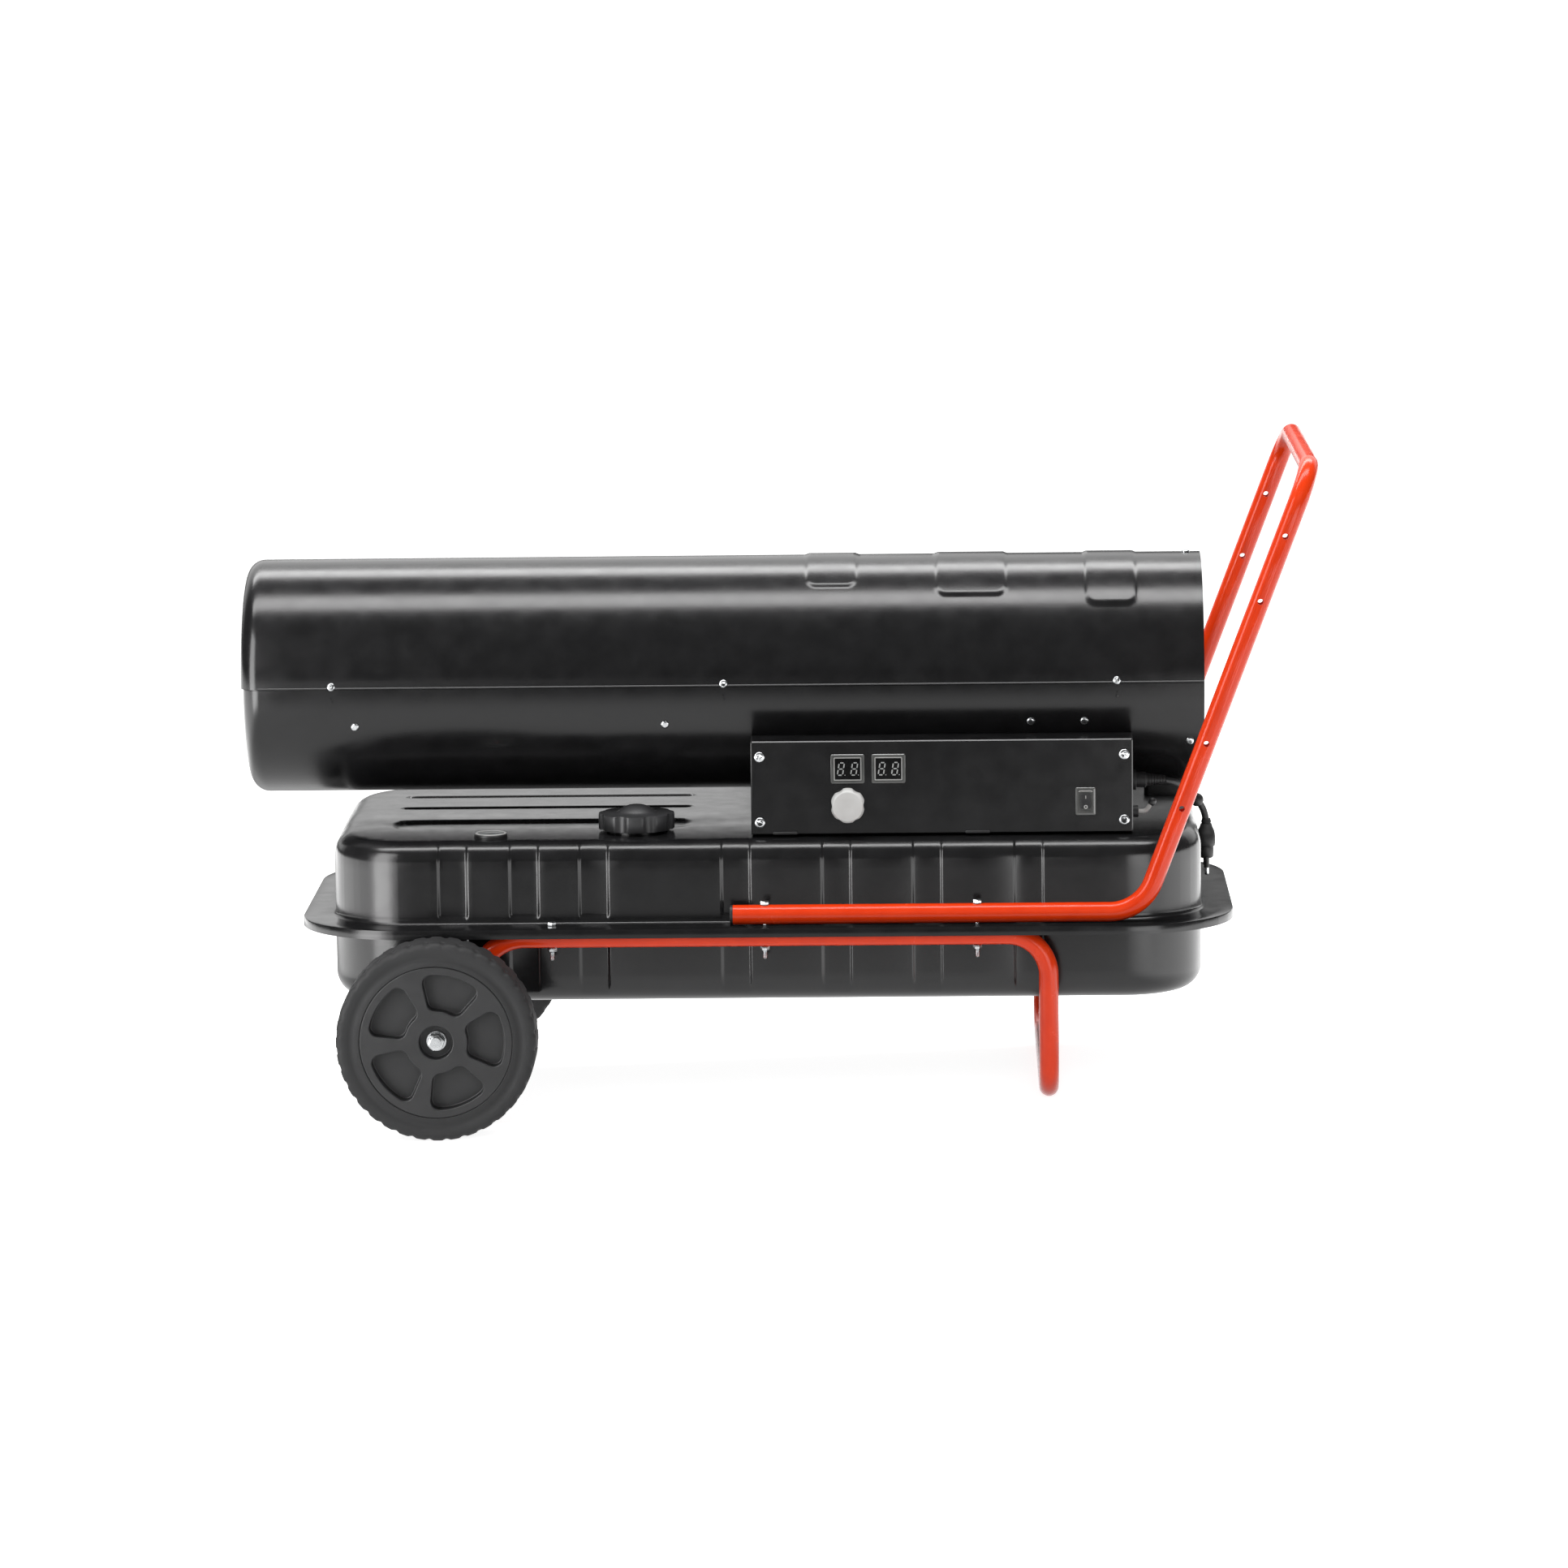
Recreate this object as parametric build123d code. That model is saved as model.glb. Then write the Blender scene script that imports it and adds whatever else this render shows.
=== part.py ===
"""Forced air heater: a burner barrel on a pressed fuel tank, with a tubular handle, foot and wheels.

Millimetres. Everything is laid out level: X runs from the wheel axle to the rear, Y across with the
controls at -Y, and Z up from the floor under the wheels. lean() then tips the whole heater back on
its foot and puts the origin under the middle of its outline.
"""

from build123d import *
import math
import os

# Clearances
RUNNING_FIT = 0.05  # radial, for what turns on a shaft or pin
BODY_GAP = 0.3  # between pieces that move past each other
SEAT_GAP = 0.1  # where a shaped piece lies in its seat
HOLE_PLAY = 0.1  # radial, for bolts and screws in their holes

# Sheet metal and tube
SHEET = 1.2
BARREL_WALL = 1.0
TUBE_R = 10.0
TUBE_WALL = 1.2
RAIL_OUTSET = 14.0  # from the tank wall to the centre of the handle and foot rails

# Wheels and axle
WHEEL_R = 101.5
WHEEL_WIDTH = 48.0
WHEEL_OUTSET = 50.0  # from the foot rail to the middle of the wheel
RIM_R = 77.5
AXLE_R = 6.0
POCKETS = 5
POCKET_INNER_R = 32.0
POCKET_OUTER_R = 69.0
POCKET_HALF_ANGLE = 27.0
POCKET_CORNER = 9.0
POCKET_DEPTH = 13.0
POCKET_START = 3.0
HUB_RECESS_R = 17.0
HUB_RECESS_DEPTH = 12.0
TREAD_BLOCKS = 36
TREAD_GAP = 4.0
TREAD_DEPTH = 1.6
TREAD_LENGTH = 13.0
SPACER_R = 10.0
WASHER_R = 12.0
WASHER_T = 1.5
AXLE_NUT_AF = 18.0
AXLE_NUT_T = 10.0
AXLE_STICK_OUT = 3.0

# Fuel tank: two pressed shells that meet at a flange
TANK_X = 332.7
TANK_LENGTH = 890.0
TANK_WIDTH = 376.0
TANK_CORNER = 80.0
TANK_TOP = 293.0
TANK_BOTTOM = 125.0
TOP_EDGE_R = 20.0
BOTTOM_EDGE_R = 24.0
JOINT_Z = 206.4
FLANGE_OVERHANG_X = 33.0
FLANGE_OVERHANG_Y = 38.0
FLANGE_CORNER = 115.0
LIP_DROP = 8.3
RIB_DEPTH = 2.5
RIB_WIDTH = 28.9
RIB_STARTS = (-0.7, 72.1, 143.2, 287.7, 390.1, 482.5, 585.6)
RIB_MARGIN = 6.0  # from the flange sheets
RIB_TOP_MARGIN = 12.0
RIB_BOTTOM_MARGIN = 15.0
GROOVE_DEPTH = 1.8
GROOVE_WIDTH = 7.0
GROOVE_Y = 84.0
GROOVE_START = -52.0
GROOVE_END = 251.0
DRAIN_R = 7.0
DRAIN_HEAD_AF = 19.0
DRAIN_HEAD_T = 5.0

# Filler neck and cap
FILLER_X = 199.0
FILLER_Y = -115.0
NECK_R = 28.0
NECK_BORE_R = 25.5
NECK_SEAT_R = 24.3
NECK_FLANGE_R = 31.0
NECK_FLANGE_T = 3.0
NECK_HEIGHT = 13.0  # above the tank top
NECK_DEPTH = 10.0  # below it
STRAINER_SEAT = 4.0  # below the neck's rim
STRAINER_DEPTH = 62.0
STRAINER_WALL = 0.8
GASKET_T = 1.9
GASKET_BORE_R = 21.0
CAP_R = 39.0
CAP_LOBES = 8
CAP_SCALLOP_R = 9.0
CAP_SCALLOP_DEPTH = 3.5
CAP_SKIRT = 1.2  # from the tank top to the bottom of the skirt
CAP_TOP_T = 2.7
CAP_DOME_R = 16.2
CAP_DOME_RISE = 8.2

# Fuel gauge and its float
GAUGE_X = 51.0
GAUGE_Y = -147.0
GAUGE_BEZEL_R = 17.0
GAUGE_WELL_R = 14.0
GAUGE_BEZEL_RISE = 4.0
GAUGE_WELL_DEPTH = 14.0
GAUGE_WALL = 1.5
LENS_T = 1.2
NEEDLE_T = 0.8
NEEDLE_REACH = 10.0
GAUGE_PIN_R = 0.8
FLOAT_PIVOT_DROP = 38.0  # below the tank top
FLOAT_ARM = 120.0
FLOAT_REST_ANGLE = 60.0  # below level, with the tank empty
FLOAT_R = 11.0
FLOAT_LENGTH = 22.0
FLOAT_WIRE_R = 1.3
FLOAT_HUB_R = 3.6
FLOAT_PIN_R = 1.5
FORK_GAP = 5.0
FORK_CHEEK = 2.0

# Barrel: two half shells round the fan and burner
BARREL_R = 120.5
BARREL_CLEARANCE = 27.0  # above the tank top
BARREL_FRONT = -206.3
BARREL_BACK = 781.6
LOWER_FRONT_STEP = 2.3  # the lower shell starts this much further back
LIP_R = 18.0
LAP_RISE = 14.0
LAP_DEPTH = 10.0
PADS = ((374.8, 426.6, 72.0), (508.3, 580.1, 82.5), (661.8, 713.4, 91.6))
PAD_RISE = 1.5
PAD_CORNER = 10.0
SEAM_SCREW_X = (-111.8, 289.9, 692.2)
SEAM_SCREW_RISE = 3.0
CHAMBER_SCREW_X = (-88.5, 229.5)
MOTOR_SCREW_X = (604.1, 658.9)
LOWER_SCREW_ANGLE = 109.0  # from the top of the barrel
GUARD_SCREW_X = 767.0
GUARD_SCREW_ANGLES = (0.0, 121.0, -121.0)
SCREW_R = 2.0
SCREW_HEAD_R = 4.3
SCREW_HEAD_T = 2.2
SCREW_LENGTH = 8.0

# Base box between the tank and the barrel, with the controls on its near face
BOX_FRONT = 318.0
BOX_BACK = 707.0
BOX_HALF_WIDTH = 159.0
BOX_HEIGHT = 96.0
BOX_FLANGE_X = 17.0
BOX_FLANGE_Z = 8.0
SADDLE_GAP = 0.2
PANEL_T = 1.4
PANEL_SCREW_INSET = 8.9
PANEL_SCREW_LOW = 12.5
PANEL_SCREW_HIGH = 80.0
PANEL_SCREW_HEAD_R = 5.5
STUD_X = (344.0, 681.0)
STUD_Y = 138.0
STUD_LENGTH = 12.0

# Controls
DISPLAY_X = (416.7, 458.3)
DISPLAY_Z = 67.3  # above the tank top
DISPLAY_WIDTH = 34.4
DISPLAY_HEIGHT = 30.0
DISPLAY_PROUD = 1.6
WINDOW_WIDTH = 24.5
WINDOW_HEIGHT = 18.5
WINDOW_RECESS = 0.8
DISPLAY_RIM = 1.7
BOARD_SETBACK = 21.4  # from the panel's outer face to the circuit board
BOARD_T = 1.6
BOARD_X = (392.0, 488.0)
BOARD_Z = (8.0, 88.0)
KNOB_X = 416.6
KNOB_Z = 30.4
KNOB_R = 18.2
KNOB_LOBES = 6
KNOB_NOTCH_R = 12.0
KNOB_NOTCH_DEPTH = 1.5
KNOB_DEPTH = 16.0
KNOB_SHAFT_R = 3.0
KNOB_SHAFT_LENGTH = 12.0
POT_BUSH_R = 4.5
POT_R = 8.5
SWITCH_X = 658.7
SWITCH_Z = 32.0
SWITCH_WIDTH = 20.5
SWITCH_HEIGHT = 28.6
SWITCH_PROUD = 2.0
SWITCH_BODY_DEPTH = 18.0
SWITCH_RIM = 1.8
ROCKER_HALF_WIDTH = 5.0
ROCKER_HALF_HEIGHT = 7.6
ROCKER_REACH = 4.5  # from its pivot to its ends' faces
ROCKER_DIP = 0.7
ROCKER_TILT = 10.0
WELL_DEPTH = 7.0  # behind the pivot

# Electrical pieces in the base box
TRANSFORMER = (70.0, 44.0, 50.0)
TRANSFORMER_X = 595.0
CAPACITOR_R = 17.0
CAPACITOR_LENGTH = 62.0
CAPACITOR_X = 400.0
CAPACITOR_Y = 124.0

# Cables at the rear wall of the base box
GLAND_Y = -95.0
GLAND_Z = 44.0  # above the tank top
GLAND_R = 8.0
GLAND_FLANGE_R = 10.5
GLAND_FLANGE_T = 5.0
GLAND_LENGTH = 15.0
CORD_R = 3.5
SENSOR_Y = -140.0
SENSOR_Z = 18.0
SENSOR_GROMMET_R = 6.0
SENSOR_GROMMET_LENGTH = 6.0
SENSOR_R = 1.6
SENSOR_BULB_R = 2.6
SENSOR_REACH = 14.0
SENSOR_RISE = 10.0
CORD_POINTS = (
    (722.0, -95.0, 337.0),
    (742.0, -95.0, 337.0),
    (757.5, -84.0, 331.0),
    (763.5, -60.0, 317.0),
    (760.0, -36.5, 308.0),
    (773.0, -13.5, 307.5),
    (782.0, -3.0, 297.5),
    (787.5, 0.0, 283.0),
    (787.5, 0.0, 271.5),
)
PLUG_THICKNESS = 18.5
PLUG_WIDTH = 32.0
PLUG_HEIGHT = 17.0
PLUG_CORNER = 4.0
PLUG_SLEEVE_R = 5.5
PLUG_SLEEVE_LENGTH = 6.0
PIN_R = 2.4
PIN_LENGTH = 17.0
PIN_SPACING = 19.0

# Burner and combustion chamber
CHAMBER_R = 92.0
CHAMBER_FRONT = -150.0
CHAMBER_BACK = 330.0
CHAMBER_LIP = 8.0
CHAMBER_HOLES = 12
CHAMBER_HOLE_R = 6.0
CHAMBER_HOLE_X = (40.0, 150.0)
BAFFLE_X = -120.0
BAFFLE_R = 48.0
BAFFLE_T = 1.5
BAFFLE_ARMS = 3
BAFFLE_ARM_WIDTH = 14.0
BRACKET_ANGLES = (109.0, -109.0, 180.0)
BRACKET_LENGTH = 24.0
BRACKET_T = 1.5
BRACKET_SPREAD = 6.0  # half angle of its feet, in degrees
HEAD_T = 2.0
HEAD_COLLAR_R = 34.0
HEAD_COLLAR_LENGTH = 16.0
HEAD_SLOTS = 12
HEAD_SLOT_R = 62.0
NOZZLE_R = 9.0
NOZZLE_LENGTH = 40.0
NOZZLE_TIP_R = 5.0
NOZZLE_TIP_LENGTH = 8.0
STUB_R = 3.0
STUB_LENGTH = 12.0
ELECTRODE_OFFSET = 18.0
ELECTRODE_SPACING = 16.0
ELECTRODE_R = 3.5
ELECTRODE_LENGTH = 46.0
SPARK_TIP_R = 1.2
SPARK_TIP_LENGTH = 14.0
PHOTOCELL_R = 7.0
PHOTOCELL_LENGTH = 24.0
PHOTOCELL_OFFSET = 46.0

# Motor, fan and air pump on one shaft
SHAFT_R = 5.0
SHAFT_FRONT = 424.0
MOTOR_FRONT = 500.0
MOTOR_BACK = 620.0
MOTOR_R = 55.0
MOTOR_END_T = 14.0
STATOR_BORE_R = 31.0
ROTOR_GAP = 0.5
FAN_FRONT = 430.0
FAN_BACK = 465.0
FAN_R = 105.0
FAN_HUB_R = 22.0
FAN_BLADES = 5
FAN_PITCH = 34.0
FAN_BLADE_T = 2.0
FAN_TIP_CHORD = 56.0
FAN_ROOT_CHORD = 22.0
MOTOR_BRACKET_START = 596.0
MOTOR_BRACKET_END = 668.0
MOTOR_BAND_T = 2.5
PUMP_R = 38.0
PUMP_LENGTH = 35.0
PUMP_WALL = 4.0
PUMP_CAVITY_R = 28.0
PUMP_ROTOR_R = 24.0
PUMP_ROTOR_END_GAP = 1.5
PUMP_VANES = 4
PUMP_SLOT_WIDTH = 3.0
PUMP_SLOT_DEPTH = 12.0
FILTER_LENGTH = 17.0
FILTER_HOLES = 8
AIR_HOSE_R = 4.5
AIR_HOSE_BEND = 16.0
AIR_HOSE_X = 401.0
AIR_HOSE_Z = 301.0
FUEL_HOSE_R = 5.0
FUEL_X = 350.0
PICKUP_FLANGE_R = 16.0
PICKUP_FLANGE_T = 3.0
PICKUP_FILTER_R = 10.0
PICKUP_FILTER_LENGTH = 26.0
PICKUP_FLOOR_GAP = 6.0
GROMMET_WALL = 2.5
GROMMET_FLANGE = 2.5

# Inlet guard
GUARD_WIRE_R = 1.3
GUARD_SPOKE_R = 1.6
GUARD_RINGS = (14.0, 32.0, 50.0, 68.0, 86.0, 104.0)
GUARD_SPOKES = 8
GUARD_RIM_T = 1.2
GUARD_RIM_LENGTH = 22.0

# Handle, as points of its centre line on one side
HANDLE_FRONT = 299.3
HANDLE_BEND_X = 714.2
HANDLE_BEND_R = 47.0
HANDLE_TOP_X = 885.3
HANDLE_TOP_Z = 667.0
HANDLE_TOP_R = 40.0
HANDLE_HOLE_R = 3.0
HANDLE_HOLE_SPACING = 70.5
HANDLE_HOLE_STARTS = (72.0, 296.5)  # down the leg from the top corner, to each pair
END_PLUG_T = 3.0
END_PLUG_DEPTH = 14.0

# Foot frame
FOOT_CORNER_X = 60.0
FOOT_CORNER_R = 50.0
FOOT_OVERRUN = 14.0  # past the axle
FOOT_X = 619.5
FOOT_Z = 30.6
FOOT_BEND_R = 42.0

# Bolts that join handle, flange and foot frame
BOLT_R = 2.5
BOLT_HEAD_AF = 8.0
BOLT_HEAD_T = 4.0
BOLT_NUT_T = 4.0
BOLT_STICK_OUT = 8.6
HANDLE_BOLT_X = (331.6, 547.4)
FLANGE_BOLT_X = 115.2

# Worked out from the dimensions above
FLANGE_TOP = JOINT_Z + SHEET
FLANGE_BOTTOM = JOINT_Z - SHEET
HANDLE_RAIL_Z = FLANGE_TOP + TUBE_R
FOOT_RAIL_Z = FLANGE_BOTTOM - TUBE_R
FLANGE_LENGTH = TANK_LENGTH + 2 * FLANGE_OVERHANG_X
FLANGE_WIDTH = TANK_WIDTH + 2 * FLANGE_OVERHANG_Y
RAIL_Y = TANK_WIDTH / 2 + RAIL_OUTSET
WHEEL_Y = RAIL_Y + WHEEL_OUTSET
WHEEL_INNER_Y = WHEEL_Y - WHEEL_WIDTH / 2
WHEEL_OUTER_Y = WHEEL_Y + WHEEL_WIDTH / 2
RECESS_Y = WHEEL_OUTER_Y - HUB_RECESS_DEPTH
WASHER_Y = RECESS_Y + BODY_GAP
NUT_Y = WASHER_Y + WASHER_T
AXLE_END_Y = NUT_Y + AXLE_NUT_T + AXLE_STICK_OUT
BARREL_Z = TANK_TOP + BARREL_CLEARANCE + BARREL_R
BARREL_BORE_R = BARREL_R - BARREL_WALL
BOX_TOP = TANK_TOP + BOX_HEIGHT
BOX_FLOOR = TANK_TOP + SHEET
PANEL_Y = -BOX_HALF_WIDTH - PANEL_T  # outer face of the control panel
BOARD_Y = PANEL_Y + BOARD_SETBACK
NECK_RIM = TANK_TOP + NECK_HEIGHT
CAP_INSIDE = NECK_RIM + SEAT_GAP + GASKET_T + SEAT_GAP
FLOAT_PIVOT_Z = TANK_TOP - FLOAT_PIVOT_DROP
PUMP_BACK = MOTOR_BACK + PUMP_LENGTH
SHAFT_BACK = PUMP_BACK - PUMP_WALL
LEAN = math.degrees(
    math.asin((WHEEL_R - TUBE_R) / math.hypot(FOOT_X, WHEEL_R - FOOT_Z))
    - math.atan2(WHEEL_R - FOOT_Z, FOOT_X)
)


# Shapes that the sub-parts share


def rod(radius, start, end):
    """Round bar from one point to another."""
    axis = Vector(end) - Vector(start)
    return Solid.make_cylinder(radius, axis.length, Plane(origin=start, z_dir=axis))


def pipe(outer, inner, start, end):
    """Straight tube from one point to another."""
    return rod(outer, start, end) - rod(inner, start, end)


def drum(radius, front, back):
    """Round bar along the barrel's axis."""
    return rod(radius, (front, 0, BARREL_Z), (back, 0, BARREL_Z))


def drum_ring(outer, inner, front, back):
    """Ring round the barrel's axis."""
    return drum(outer, front, back) - drum(inner, front, back)


def block(x, y, z):
    """Box from three pairs of limits."""
    corner = Plane(origin=(x[0], y[0], z[0]))
    return Solid.make_box(x[1] - x[0], y[1] - y[0], z[1] - z[0], corner)


def hexagon(across_flats, thickness, place):
    """Hexagonal prism that starts on the plane given and grows along its normal."""
    return extrude(place * RegularPolygon(across_flats / 2, 6, major_radius=False), thickness)


def slab(length, width, corner, low, high):
    """Rounded rectangular block about the middle of the tank."""
    outline = Pos(TANK_X, 0, low) * RectangleRounded(length, width, corner)
    return extrude(outline, high - low)


def around(angle):
    """Direction square to the barrel's axis, in degrees from the top towards the controls."""
    turn = math.radians(angle)
    return Vector(0, -math.sin(turn), math.cos(turn))


def off_axis(x, angle, radius):
    """Point at this angle and radius from the barrel's axis."""
    return Vector(x, 0, BARREL_Z) + around(angle) * radius


def bent_tube(points, radii, outer, inner):
    """Tube along straight runs joined by arcs."""
    path = FilletPolyline(*points, radius=radii)
    section = Plane(origin=path @ 0, z_dir=path % 0) * (Circle(outer) - Circle(inner))
    return sweep(section, path=path)


def sides(y):
    """The same distance on the near and the far side."""
    return (-y, y)


# Fuel tank


def rib_bands(low, high, grow):
    """Upright bands in the tank's side walls; the cavity keeps one sheet away from them."""
    bands = []
    depth = RIB_DEPTH + grow
    for start in RIB_STARTS:
        for side in sides(1):
            wall = sorted((side * (TANK_WIDTH / 2 - depth), side * (TANK_WIDTH / 2 + SHEET)))
            bands.append(block((start - grow, start + RIB_WIDTH + grow), wall, (low - grow, high + grow)))
    return bands


def top_grooves(grow):
    """Three long grooves along the front of the tank's top."""
    grooves = []
    for y in (-GROOVE_Y, 0.0, GROOVE_Y):
        across = (y - GROOVE_WIDTH / 2 - grow, y + GROOVE_WIDTH / 2 + grow)
        along = (GROOVE_START - grow, GROOVE_END + grow)
        grooves.append(block(along, across, (TANK_TOP - GROOVE_DEPTH - grow, TANK_TOP + SHEET)))
    return grooves


def tank_half(low, high, edge_r, grow, rounded):
    """One half of the tank's body; grow is 0 outside, and one sheet for the space within."""
    body = slab(TANK_LENGTH - 2 * grow, TANK_WIDTH - 2 * grow, TANK_CORNER - grow, low, high)
    return fillet(body.edges().group_by(Axis.Z)[rounded], edge_r - grow)


def flange_bolt_places():
    """Points of the flange, in plan, where a bolt goes through."""
    return [(x, y) for x in (FLANGE_BOLT_X, *HANDLE_BOLT_X) for y in sides(RAIL_Y)]


def bolt_holes(low, high):
    """Holes for the flange bolts between two heights."""
    return [rod(BOLT_R + HOLE_PLAY, (x, y, low), (x, y, high)) for x, y in flange_bolt_places()]


def tank_upper_shell():
    """Upper pressing with its flange, down-turned lip, holes and the base box's weld studs."""
    ribs_low = FLANGE_TOP + RIB_MARGIN
    ribs_high = TANK_TOP - RIB_TOP_MARGIN
    shell = tank_half(JOINT_Z, TANK_TOP, TOP_EDGE_R, 0, -1)
    shell += slab(FLANGE_LENGTH, FLANGE_WIDTH, FLANGE_CORNER, JOINT_Z - LIP_DROP, FLANGE_TOP)
    lip = JOINT_Z - LIP_DROP
    inside = slab(FLANGE_LENGTH - 2 * SHEET, FLANGE_WIDTH - 2 * SHEET, FLANGE_CORNER - SHEET, lip, JOINT_Z)
    cavity = tank_half(JOINT_Z, TANK_TOP - SHEET, TOP_EDGE_R, SHEET, -1)
    cavity = cavity - rib_bands(ribs_low, ribs_high, SHEET) - top_grooves(SHEET)
    shell = shell - inside - cavity - rib_bands(ribs_low, ribs_high, 0) - top_grooves(0)
    above = TANK_TOP + SHEET
    below = TANK_TOP - SHEET - GROOVE_DEPTH - SHEET
    shell -= rod(NECK_R + SEAT_GAP, (FILLER_X, FILLER_Y, below), (FILLER_X, FILLER_Y, above))
    shell -= rod(GAUGE_WELL_R + GAUGE_WALL + SEAT_GAP, (GAUGE_X, GAUGE_Y, below), (GAUGE_X, GAUGE_Y, above))
    shell -= rod(PICKUP_FILTER_R + SEAT_GAP, (FUEL_X, 0, below), (FUEL_X, 0, above))
    shell = shell - bolt_holes(JOINT_Z, FLANGE_TOP)
    for x in STUD_X:
        for y in sides(STUD_Y):
            shell += rod(BOLT_R, (x, y, TANK_TOP), (x, y, TANK_TOP + STUD_LENGTH))
    return shell


def tank_lower_shell():
    """Lower pressing, whose flange lies inside the upper shell's lip."""
    ribs_low = TANK_BOTTOM + RIB_BOTTOM_MARGIN
    ribs_high = FLANGE_BOTTOM - RIB_MARGIN
    inset = SHEET + SEAT_GAP
    shell = tank_half(TANK_BOTTOM, JOINT_Z, BOTTOM_EDGE_R, 0, 0)
    shell += slab(
        FLANGE_LENGTH - 2 * inset, FLANGE_WIDTH - 2 * inset, FLANGE_CORNER - inset, FLANGE_BOTTOM, JOINT_Z
    )
    cavity = tank_half(TANK_BOTTOM + SHEET, JOINT_Z, BOTTOM_EDGE_R, SHEET, 0)
    cavity = cavity - rib_bands(ribs_low, ribs_high, SHEET)
    shell = shell - cavity - rib_bands(ribs_low, ribs_high, 0)
    shell -= rod(DRAIN_R + SEAT_GAP, (TANK_X, 0, TANK_BOTTOM), (TANK_X, 0, TANK_BOTTOM + SHEET))
    return shell - bolt_holes(FLANGE_BOTTOM, JOINT_Z)


def drain_plug():
    """Hexagonal plug in the tank's floor."""
    head = hexagon(DRAIN_HEAD_AF, DRAIN_HEAD_T, Plane(origin=(TANK_X, 0, TANK_BOTTOM - DRAIN_HEAD_T)))
    return head + rod(DRAIN_R, (TANK_X, 0, TANK_BOTTOM), (TANK_X, 0, TANK_BOTTOM + 3 * SHEET))


# Filler


def filler_point(z):
    """Point on the filler's axis."""
    return (FILLER_X, FILLER_Y, z)


def filler_neck():
    """Neck with a flange on the tank's top and an inner step that carries the strainer."""
    neck = rod(NECK_R, filler_point(TANK_TOP - NECK_DEPTH), filler_point(NECK_RIM))
    neck += rod(NECK_FLANGE_R, filler_point(TANK_TOP), filler_point(TANK_TOP + NECK_FLANGE_T))
    neck -= rod(NECK_SEAT_R, filler_point(TANK_TOP - NECK_DEPTH), filler_point(NECK_RIM))
    return neck - rod(NECK_BORE_R, filler_point(NECK_RIM - STRAINER_SEAT), filler_point(NECK_RIM))


def filler_strainer():
    """Basket that hangs from the neck's step, with slots in its wall."""
    seat = NECK_RIM - STRAINER_SEAT
    radius = NECK_SEAT_R - SEAT_GAP
    floor = seat - STRAINER_DEPTH
    basket = rod(radius, filler_point(floor), filler_point(seat))
    basket += rod(NECK_BORE_R - SEAT_GAP, filler_point(seat), filler_point(seat + STRAINER_WALL))
    inside = filler_point(seat + STRAINER_WALL)
    basket -= rod(radius - STRAINER_WALL, filler_point(floor + STRAINER_WALL), inside)
    slots = (floor + 4 * STRAINER_WALL, TANK_TOP - NECK_DEPTH - 4 * STRAINER_WALL)
    bar = block((-radius - 1, radius + 1), (-NECK_FLANGE_T / 2, NECK_FLANGE_T / 2), slots)
    for turn in range(6):
        basket -= Pos(FILLER_X, FILLER_Y, 0) * Rot(0, 0, 30 * turn) * bar
    return basket


def cap_gasket():
    """Flat ring between the neck's rim and the cap."""
    low = NECK_RIM + SEAT_GAP
    return pipe(NECK_R + 1, GASKET_BORE_R, filler_point(low), filler_point(low + GASKET_T))


def filler_cap():
    """Scalloped cap with a domed middle and a skirt round the neck."""
    low = TANK_TOP + CAP_SKIRT
    top = CAP_INSIDE + CAP_TOP_T
    cap = rod(CAP_R, filler_point(low), filler_point(top))
    cap = fillet(cap.edges().group_by(Axis.Z)[-1], CAP_TOP_T / 2)
    reach = CAP_R - CAP_SCALLOP_DEPTH + CAP_SCALLOP_R
    for lobe in range(CAP_LOBES):
        turn = math.radians(360 / CAP_LOBES * (lobe + 0.5))
        x = FILLER_X + reach * math.cos(turn)
        y = FILLER_Y + reach * math.sin(turn)
        cap -= rod(CAP_SCALLOP_R, (x, y, low), (x, y, top))
    sphere_r = (CAP_DOME_R**2 + CAP_DOME_RISE**2) / (2 * CAP_DOME_RISE)
    ball = Pos(FILLER_X, FILLER_Y, top + CAP_DOME_RISE - sphere_r) * Sphere(sphere_r)
    cap += ball & rod(CAP_R, filler_point(top - CAP_TOP_T / 2), filler_point(top + CAP_DOME_RISE))
    return cap - rod(NECK_FLANGE_R + BODY_GAP, filler_point(low), filler_point(CAP_INSIDE))


# Fuel gauge


def gauge_point(z):
    """Point on the gauge's axis."""
    return (GAUGE_X, GAUGE_Y, z)


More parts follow.
